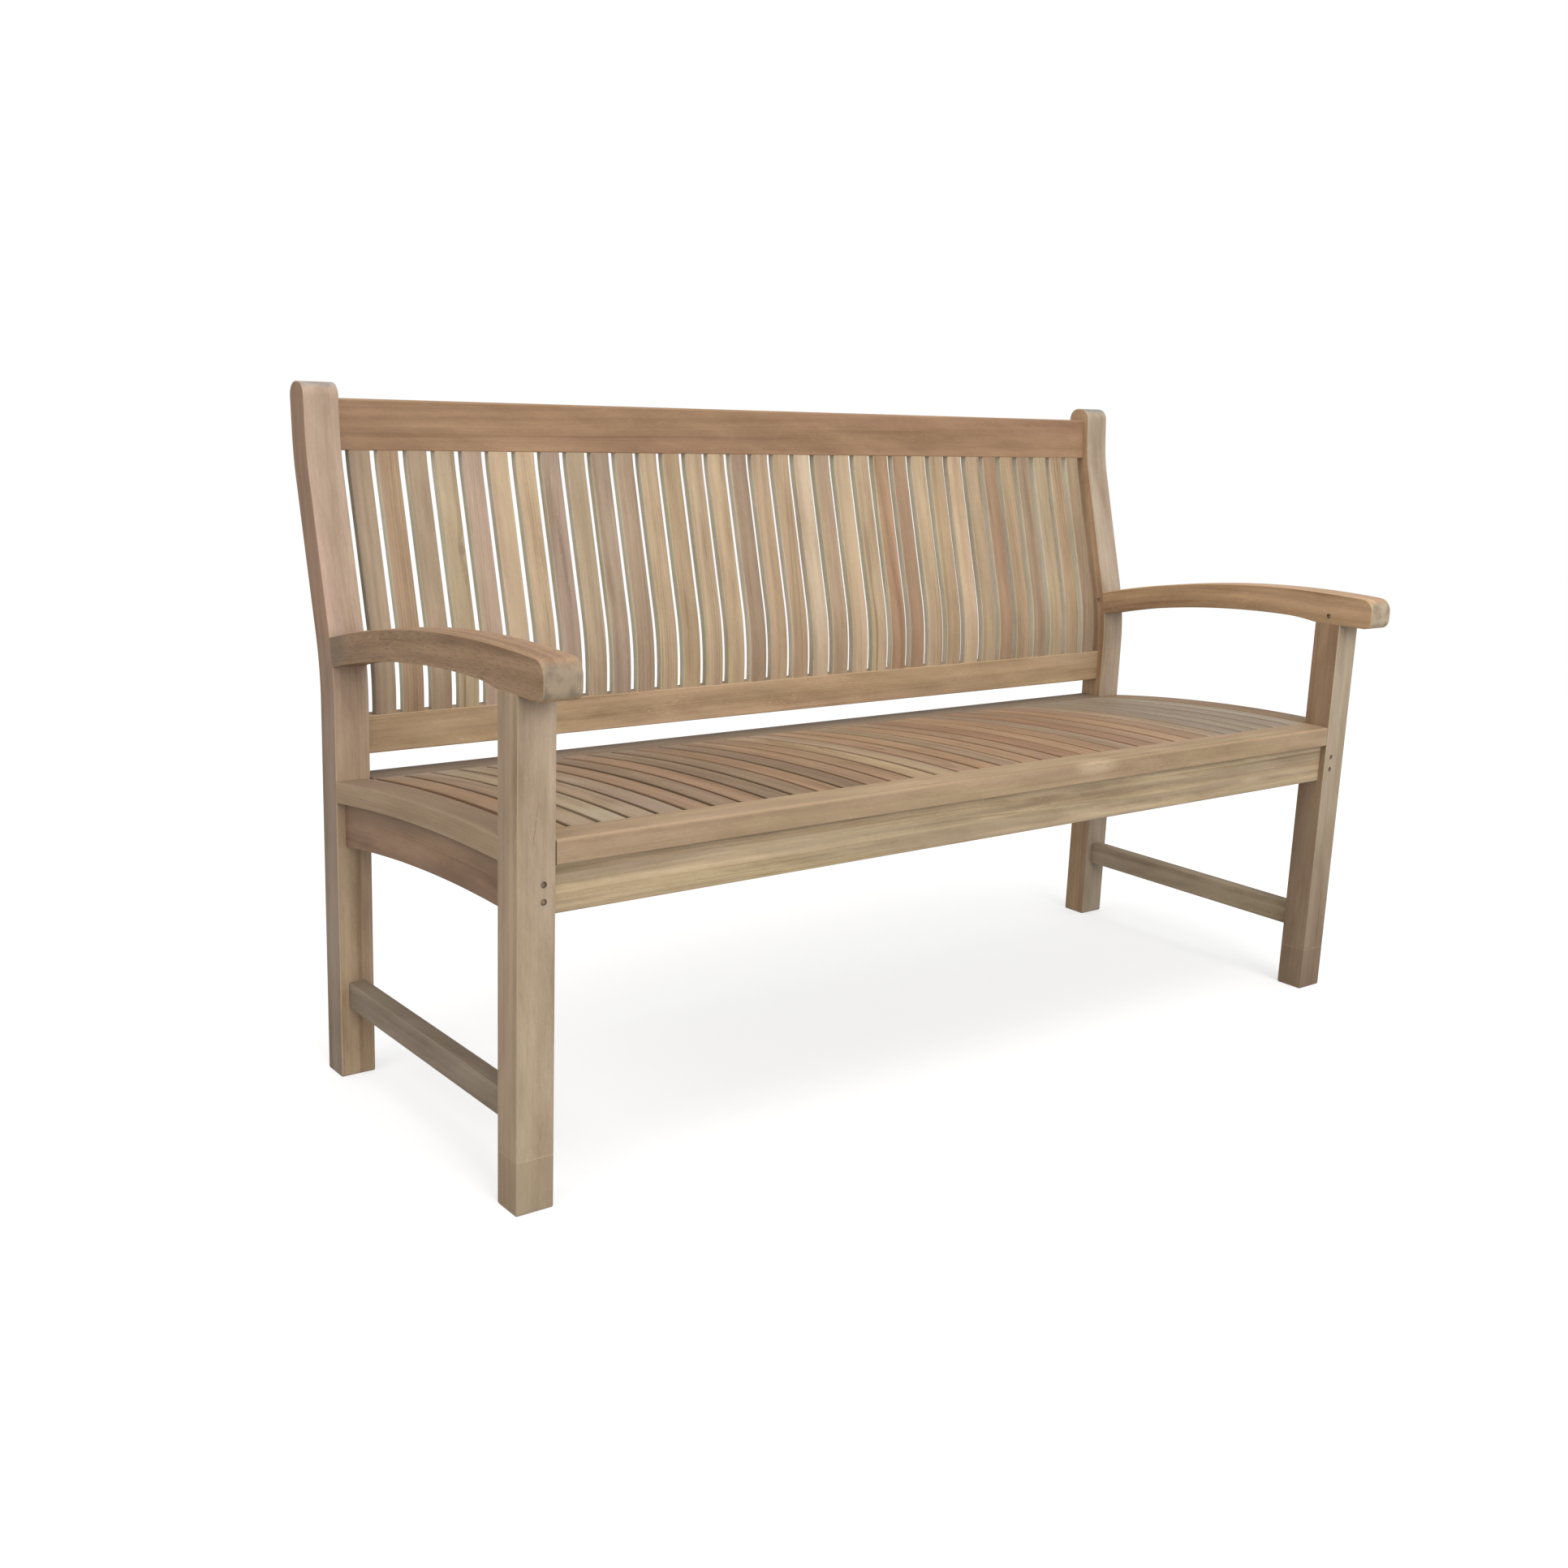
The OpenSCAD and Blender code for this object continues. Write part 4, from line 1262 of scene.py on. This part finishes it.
class Shade(Enum):
    """What each feature of the wood multiplies the board's red, green and blue by."""

    PALE = (1.27, 1.28, 1.28)
    DARK = (0.68, 0.61, 0.52)
    COOL = (1.01, 0.98, 1.02)
    WARM = (1.0, 1.0, 0.97)
    HEARTWOOD = (0.74, 0.73, 0.73)
    SAPWOOD = (1.22, 1.22, 1.14)
    WEATHERED = (0.97, 0.985, 1.01)
    PORE = (0.55, 0.46, 0.38)
    GAPING = (0.60, 0.53, 0.46)
    DUST = (1.7, 1.65, 1.55)
    # Lighter eased edges: partly sanding wear, partly a painted highlight where light catches them
    WORN = (1.30, 1.30, 1.26)
    UNDER_SCRIBE = (0.80, 0.76, 0.70)
    SCRIBE = (1.32, 1.30, 1.26)
    KNOT = (0.62, 0.53, 0.46)
    STAIN = (0.56, 0.68, 0.82)
    BLEACHED = (1.42, 1.50, 1.58)
    END_PALE = (0.95, 1.16, 1.40)
    END_DARK = (0.52, 0.63, 0.77)

    @property
    def colour(self) -> tuple[float, ...]:
        """The shade as a colour."""
        return (*self.value, 1.0)


@dataclass(frozen=True)
class TeakFinish:
    """Sanded teak: growth rings, streaks, open pores, grey end grain, and edges lightened partly by wear and
    partly by a painted highlight.
    """

    name: str
    ring_pitch: float = 0.0042
    wander: float = 0.030
    darkness: float = 0.42
    band_depth: float = 0.85
    line_depth: float = 0.34
    cloud_depth: float = 1.4
    grit_depth: float = 0.35
    wide_depth: float = 0.80
    streak_depth: float = 0.48
    fibre_depth: float = 0.26
    mineral_depth: float = 0.40
    bend_depth: float = 0.012
    pore_depth: float = 0.18
    roughness: float = 0.66
    relief: float = 0.22

    def build(self) -> bpy.types.Material:
        """Builds the material.

        Returns:
            The material.
        """
        g = Graph(self.name)
        log = g.attribute("log")
        figure, streak_share, grey = g.split(g.attribute("figure"))
        sapwood, dusting, scribed = g.split(g.attribute("share"))
        tint = g.attribute("tint", "Color")
        rings, along = self.ring_count(g, log)

        # Bands of growth, with a darker line in places where a year's wood ends
        band = g.noise(g.join(rings, g.times(along, 0.6), 0.0), *Pattern.BAND.value)
        line = g.math("POWER", g.math("FRACT", rings), 5.0)
        clear = g.ease(g.noise(g.join(rings, along, 3.0), *Pattern.CLEAR_RINGS.value), 0.46, 0.64)

        # Clouds that lean across the fibres, then streaks along them, from broad to fine
        slant = g.vector("ADD", log, g.join(g.vector("DOT_PRODUCT", log, (0.0, 1.6, 1.1)), 0.0, 0.0))
        cloud = g.noise(slant, *Pattern.CLOUD.value)
        grit, wide, streak, fibre = (
            g.noise(log, *pattern.value)
            for pattern in (Pattern.GRIT, Pattern.WIDE_STREAK, Pattern.STREAK, Pattern.FIBRE))
        mineral = g.ease(g.noise(log, *Pattern.MINERAL.value), 0.63, 0.76)
        pores = g.ease(g.noise(log, *Pattern.PORES.value), 0.62, 0.74)

        # Darkness from 0 to 1: each signal swings about its own middle, by its depth times its share
        signals = ((band, 0.5, self.band_depth, figure),
                   (g.times(line, clear), 0.05, self.line_depth, figure),
                   (cloud, 0.5, self.cloud_depth, 1.0), (grit, 0.5, self.grit_depth, 1.0),
                   (wide, 0.5, self.wide_depth, streak_share),
                   (streak, 0.5, self.streak_depth, streak_share),
                   (fibre, 0.5, self.fibre_depth, 1.0), (mineral, 0.06, self.mineral_depth, figure))
        dark = self.darkness
        for signal, middle, depth, share in signals:
            swing = g.times(g.math("SUBTRACT", signal, middle), share)
            dark = g.math("MULTIPLY_ADD", swing, depth, dark)
        dark = g.math("MINIMUM", g.math("MAXIMUM", dark, 0.0), 1.0)

        # The board's tint from pale to dark, a little warmer and cooler in places
        colour = g.mix(dark, self.shade(g, tint, Shade.PALE), self.shade(g, tint, Shade.DARK))
        warmth = g.ease(g.noise(log, *Pattern.WARMTH.value), 0.36, 0.64)
        colour = g.mix(1.0, colour, g.mix(warmth, Shade.COOL.colour, Shade.WARM.colour), "MULTIPLY")

        # Streaks of sapwood, which follow the clouds, and faded stretches
        bend = g.times(cloud, self.bend_depth)
        bent = g.vector("ADD", log, g.join(0.0, bend, bend))
        sap = g.ease(g.noise(bent, *Pattern.SAPWOOD.value), 0.38, 0.62)
        sap = g.mix(sap, Shade.HEARTWOOD.colour, Shade.SAPWOOD.colour)
        colour = g.mix(sapwood, colour, g.mix(1.0, colour, sap, "MULTIPLY"))
        weather = g.ease(g.noise(slant, *Pattern.WEATHER.value), 0.42, 0.66)
        colour = g.mix(g.times(weather, grey), colour, self.shade(g, tint, Shade.WEATHERED))

        # Fine pores, gaping grain, and the pale dust of sanding
        colour = g.mix(g.times(pores, self.pore_depth), colour, self.shade(g, tint, Shade.PORE))
        gaping = g.ease(g.noise(log, *Pattern.GAPING.value), 0.53, 0.68)
        gaping = g.times(gaping, g.attribute("open_grain", "Fac"))
        colour = g.mix(gaping, colour, self.shade(g, tint, Shade.GAPING))
        dusty = g.ease(g.noise(log, *Pattern.DUSTY.value), 0.46, 0.66)
        dust = g.ease(g.noise(log, *Pattern.DUST.value), 0.61, 0.72)
        colour = g.mix(g.times(g.times(dust, dusty), dusting), colour, self.shade(g, tint, Shade.DUST))

        # Single marks, end grain, and edges lightened partly by sanding wear and partly by a painted
        # highlight
        colour = self.core(g, colour, tint, dust)
        colour = self.scribe(g, colour, tint, scribed, cloud)
        colour = self.end_grain(g, colour, tint, log, rings)
        # Eased edges lightened, broken by the clouds: partly sanding wear, partly a painted highlight
        wear_and_highlight = g.times(g.attribute("arris", "Fac"), g.ease(cloud, 0.35, 0.65, 0.12, 0.30))
        colour = g.mix(wear_and_highlight, colour, self.shade(g, tint, Shade.WORN))
        roughness = g.math("MULTIPLY_ADD", fibre, 0.22, self.roughness - 0.11)
        relief = g.math("SUBTRACT", fibre, g.times(pores, 0.8))
        return g.finish(colour, roughness, 0.38, relief, self.relief, 0.0004)

    @staticmethod
    def shade(g: Graph, tint: Socket, shade: Shade) -> Socket:
        """The board's tint, multiplied channel by channel."""
        return g.mix(1.0, tint, shade.colour, "MULTIPLY")

    def ring_count(self, g: Graph, log: Socket) -> tuple[Socket, Socket]:
        """Counts growth rings out from the heart.

        Formula: the distance from the heart, bent by slow noise and pushed out around a flaw by
        its swell times exp(-distance²), over the width of a ring.

        Args:
            g: the material's graph.
            log: the place in the log.

        Returns:
            The ring count and the distance along the log.
        """
        bend = g.noise(log, *Pattern.WANDER.value, "Color")
        bend = g.vector("MULTIPLY", g.vector("SUBTRACT", bend, (0.5, 0.5, 0.5)),
                        (0.0, self.wander, self.wander))
        along, across, through = g.split(g.vector("ADD", log, bend))
        radius = g.math("SQRT", g.math("ADD", g.math("POWER", across, 2.0), g.math("POWER", through, 2.0)))
        away = g.vector("LENGTH", g.attribute("flaw_place"))
        eye = g.math("EXPONENT", g.times(g.math("POWER", away, 2.0), -1.0))
        swell, _, _ = g.split(g.attribute("flaw"))
        return g.math("DIVIDE", g.math("MULTIPLY_ADD", eye, swell, radius), self.ring_pitch), along

    def scribe(self, g: Graph, colour: Socket, tint: Socket, height: Socket, cloud: Socket) -> Socket:
        """Draws a pale scribed line at a height, with darker wood under it."""
        _, _, z = g.split(g.node("ShaderNodeTexCoord").outputs["Object"])
        above = g.math("SUBTRACT", z, height)
        foot = g.times(g.ease(above, -0.0012, 0.0, 0.35, 0.0), g.math("LESS_THAN", height, 1.0))
        colour = g.mix(foot, colour, self.shade(g, tint, Shade.UNDER_SCRIBE))
        line = g.ease(g.math("ABSOLUTE", above), 0.0002, 0.0011, 1.0, 0.0)
        return g.mix(g.times(line, g.ease(cloud, 0.40, 0.58, 0.25, 0.85)), colour,
                     self.shade(g, tint, Shade.SCRIBE))

    def core(self, g: Graph, colour: Socket, tint: Socket, dust: Socket) -> Socket:
        """Browns, greys or bleaches the core of a flaw, broken by a few pale flecks."""
        _, share, stain = g.split(g.attribute("flaw"))
        near = g.ease(g.vector("LENGTH", g.attribute("flaw_place")), 0.25, 1.0, 1.0, 0.0)
        depth = g.times(g.times(near, share), g.math("SUBTRACT", 1.0, dust))
        dark = g.mix(stain, self.shade(g, tint, Shade.KNOT), self.shade(g, tint, Shade.STAIN))
        bleached = self.shade(g, tint, Shade.BLEACHED)
        return g.mix(depth, colour, g.mix(g.times(stain, -1.0), dark, bleached))

    def end_grain(self, g: Graph, colour: Socket, tint: Socket, log: Socket, rings: Socket) -> Socket:
        """Greys the faces that cut across the fibres, and shows faint growth rings on them."""
        normal = g.node("ShaderNodeNewGeometry").outputs["Normal"]
        facing = g.math("ABSOLUTE", g.vector("DOT_PRODUCT", normal, g.attribute("along")))
        share = g.ease(facing, 0.45, 0.92)
        arcs = g.times(g.math("POWER", g.math("FRACT", g.times(rings, 0.5)), 2.0), 0.12)
        blotch = g.noise(log, *Pattern.BLOTCH.value)
        patches = g.math("ADD", arcs, g.ease(blotch, 0.38, 0.62, 0.0, 0.85))
        cut = g.mix(patches, self.shade(g, tint, Shade.END_PALE), self.shade(g, tint, Shade.END_DARK))
        return g.mix(g.times(share, 0.9), colour, cut)


@dataclass(frozen=True)
class PegFinish:
    """Peg ends: dark, open end grain with a few pale flecks."""

    name: str = "peg_end_grain"

    def build(self) -> bpy.types.Material:
        """Builds the material."""
        g = Graph(self.name)
        place = g.node("ShaderNodeTexCoord").outputs["Object"]
        mottle = g.noise(place, *Pattern.PEG_MOTTLE.value)
        cloud = g.noise(place, *Pattern.PEG_CLOUD.value)
        dark, pale = (0.075, 0.050, 0.032, 1.0), (0.33, 0.24, 0.155, 1.0)
        colour = g.mix(g.times(mottle, g.ease(cloud, 0.35, 0.7, 0.4, 1.3)), dark, pale)
        return g.finish(colour, g.math("MULTIPLY_ADD", mottle, 0.2, 0.65), 0.25, mottle, 0.4, 0.0005)


@dataclass(frozen=True)
class Pegs:
    """The wooden pegs of the joints, sunk a little below the surface."""

    length: float = 0.036
    radius: float = 0.00385
    ease: float = 0.0006

    def make(self, workshop: Workshop, name: str, bore: Bore) -> bpy.types.Object:
        """Makes one peg in its bore."""
        peg = rod(name, bore, bore.sink, self.length, self.radius, self.ease)
        return workshop.install(peg, "joint_pegs", Slot.PEG)


# ---- Studio ----


@dataclass(frozen=True)
class SoftLight:
    """A large soft lamp, as seen from the bench: bearing from the front, height, distance."""

    name: str
    bearing: float
    elevation: float
    distance: float
    size: float
    power: float
    colour: tuple[float, float, float] = (1.0, 1.0, 1.0)


@dataclass(frozen=True)
class Studio:
    """A pale floor, an even white surround, soft lamps and the camera."""

    stand: tuple[float, float, float] = (-1.6186, -1.8497, 0.9218)
    yaw: float = math.radians(37.97)
    pitch: float = math.radians(12.86)
    roll: float = math.radians(2.17)
    lens: float = 39.22
    sensor: float = 36.0
    floor_radius: float = 14.0
    floor_sides: int = 96
    melt_from: float = 1.6
    melt_to: float = 5.0
    ambient: float = 0.72
    floor_seen: float = 0.97
    floor_lit: float = 0.50
    shadow_fade: float = 0.6
    aim: tuple[float, float, float] = (0.0, 0.0, 0.45)
    lamps: tuple[SoftLight, ...] = (
        SoftLight("front_lamp", -5.0, 22.0, 8.0, 5.0, 540.0),
        SoftLight("left_lamp", -80.0, 38.0, 7.0, 4.0, 125.0, (1.0, 0.93, 0.84)),
        SoftLight("overhead_lamp", 0.0, 85.0, 4.5, 4.0, 150.0),
    )

    def camera(self) -> None:
        """Puts up the camera.

        Formula: forward points along the yaw and down by the pitch, right is square to it, and
        both right and up are then turned by the roll.
        """
        forward = Vector((math.sin(self.yaw) * math.cos(self.pitch),
                          math.cos(self.yaw) * math.cos(self.pitch), -math.sin(self.pitch)))
        level = Vector((math.cos(self.yaw), -math.sin(self.yaw), 0.0))
        upright = level.cross(forward)
        right = math.cos(self.roll) * level + math.sin(self.roll) * upright
        up = math.cos(self.roll) * upright - math.sin(self.roll) * level
        data = bpy.data.cameras.new("camera")
        data.lens = self.lens
        data.sensor_width = self.sensor
        data.clip_end = 100.0
        eye = bpy.data.objects.new("camera", data)
        turn = Matrix((right, up, -forward)).transposed()
        eye.matrix_world = Matrix.Translation(self.stand) @ turn.to_4x4()
        bpy.context.scene.collection.objects.link(eye)
        bpy.context.scene.camera = eye

    def lamp(self, light: SoftLight) -> None:
        """Hangs one lamp, turned to the middle of the bench."""
        data = bpy.data.lights.new(light.name, "AREA")
        data.shape = "DISK"
        data.size = light.size
        data.energy = light.power
        data.color = light.colour
        made = bpy.data.objects.new(light.name, data)
        bearing, elevation = math.radians(light.bearing), math.radians(light.elevation)
        direction = Vector((math.sin(bearing) * math.cos(elevation),
                            -math.cos(bearing) * math.cos(elevation), math.sin(elevation)))
        turn = direction.to_track_quat("Z", "Y").to_matrix().to_4x4()
        made.matrix_world = Matrix.Translation(Vector(self.aim) + direction * light.distance) @ turn
        made.visible_camera = False
        bpy.context.scene.collection.objects.link(made)

    def surround(self) -> None:
        """Sets an even white surround that lights softly and looks white."""
        world = bpy.data.worlds.new("surround")
        bpy.context.scene.world = world
        world.use_nodes = True
        nodes, links = world.node_tree.nodes, world.node_tree.links
        nodes.clear()
        path = nodes.new("ShaderNodeLightPath")
        strength = nodes.new("ShaderNodeMapRange")
        strength.inputs["To Min"].default_value = self.ambient
        strength.inputs["To Max"].default_value = 1.0
        background = nodes.new("ShaderNodeBackground")
        end = nodes.new("ShaderNodeOutputWorld")
        links.new(path.outputs["Is Camera Ray"], strength.inputs["Value"])
        links.new(strength.outputs[0], background.inputs["Strength"])
        links.new(background.outputs[0], end.inputs[0])
        background.inputs["Color"].default_value = WHITE

    def floor(self) -> None:
        """Lays a round pale floor, which melts into the white surround far from the bench."""
        angle = np.linspace(0.0, 2.0 * math.pi, self.floor_sides, endpoint=False)
        rim = np.column_stack([np.cos(angle), np.sin(angle), np.zeros_like(angle)]) * self.floor_radius
        disc = new_mesh("floor", rim, [list(range(self.floor_sides))])
        g = Graph("pale_floor")
        place = g.node("ShaderNodeTexCoord").outputs["Object"]
        far = g.ease(g.vector("LENGTH", place), self.melt_from, self.melt_to)
        matte = g.node("ShaderNodeBsdfPrincipled")
        seen = g.node("ShaderNodeLightPath").outputs["Is Camera Ray"]
        shades = [(value, value, value, 1.0) for value in (self.floor_lit, self.floor_seen)]
        g.feed(matte.inputs["Base Color"], g.mix(seen, *shades))
        matte.inputs["Roughness"].default_value = 0.9
        matte.inputs["Specular IOR Level"].default_value = 0.1
        glow = g.node("ShaderNodeEmission")
        glow.inputs["Color"].default_value = WHITE
        blend = g.node("ShaderNodeMixShader")
        g.feed(blend.inputs[0], g.math("MAXIMUM", far, g.times(seen, self.shadow_fade)))
        g.feed(blend.inputs[1], matte.outputs[0])
        g.feed(blend.inputs[2], glow.outputs[0])
        g.feed(g.node("ShaderNodeOutputMaterial").inputs[0], blend.outputs[0])
        disc.data.materials.append(g.material)

    def build(self) -> None:
        """Sets up the whole studio."""
        bpy.context.scene.view_settings.view_transform = "Standard"
        self.surround()
        self.floor()
        for light in self.lamps:
            self.lamp(light)
        self.camera()


def main() -> None:
    """Builds the bench's sub-assemblies in order, then its pegs and the studio."""
    logging.basicConfig(level=logging.INFO, format="%(name)s: %(message)s")
    finishes = {
        Slot.LEG: TeakFinish("leg_teak", cloud_depth=1.9).build(),
        Slot.RAIL: TeakFinish("rail_teak", cloud_depth=1.6).build(),
        Slot.UNDER: TeakFinish("underframe_teak", cloud_depth=1.9, roughness=0.7).build(),
        Slot.SLAT: TeakFinish("slat_teak", roughness=0.58).build(),
        Slot.PEG: PegFinish().build(),
    }
    workshop = Workshop(finishes)
    places = Places.read()
    back = BackCurve(places.post_front)
    seat = Arch(places.leg_front + SEAT_CROWN, places.seat_crown, SEAT_RADIUS)
    ends = [EndFrame(side, places, back, seat) for side in Side]
    assemblies = [*ends, BackPanel(places, back), SeatPanel(places, seat), Underframe(places, seat)]
    for assembly in assemblies:
        for board in assembly.boards():
            workshop.make(board)
    for end in ends:
        for name, bore in end.pegs():
            Pegs().make(workshop, name, bore)
    Studio().build()


if __name__ == "__main__":
    main()
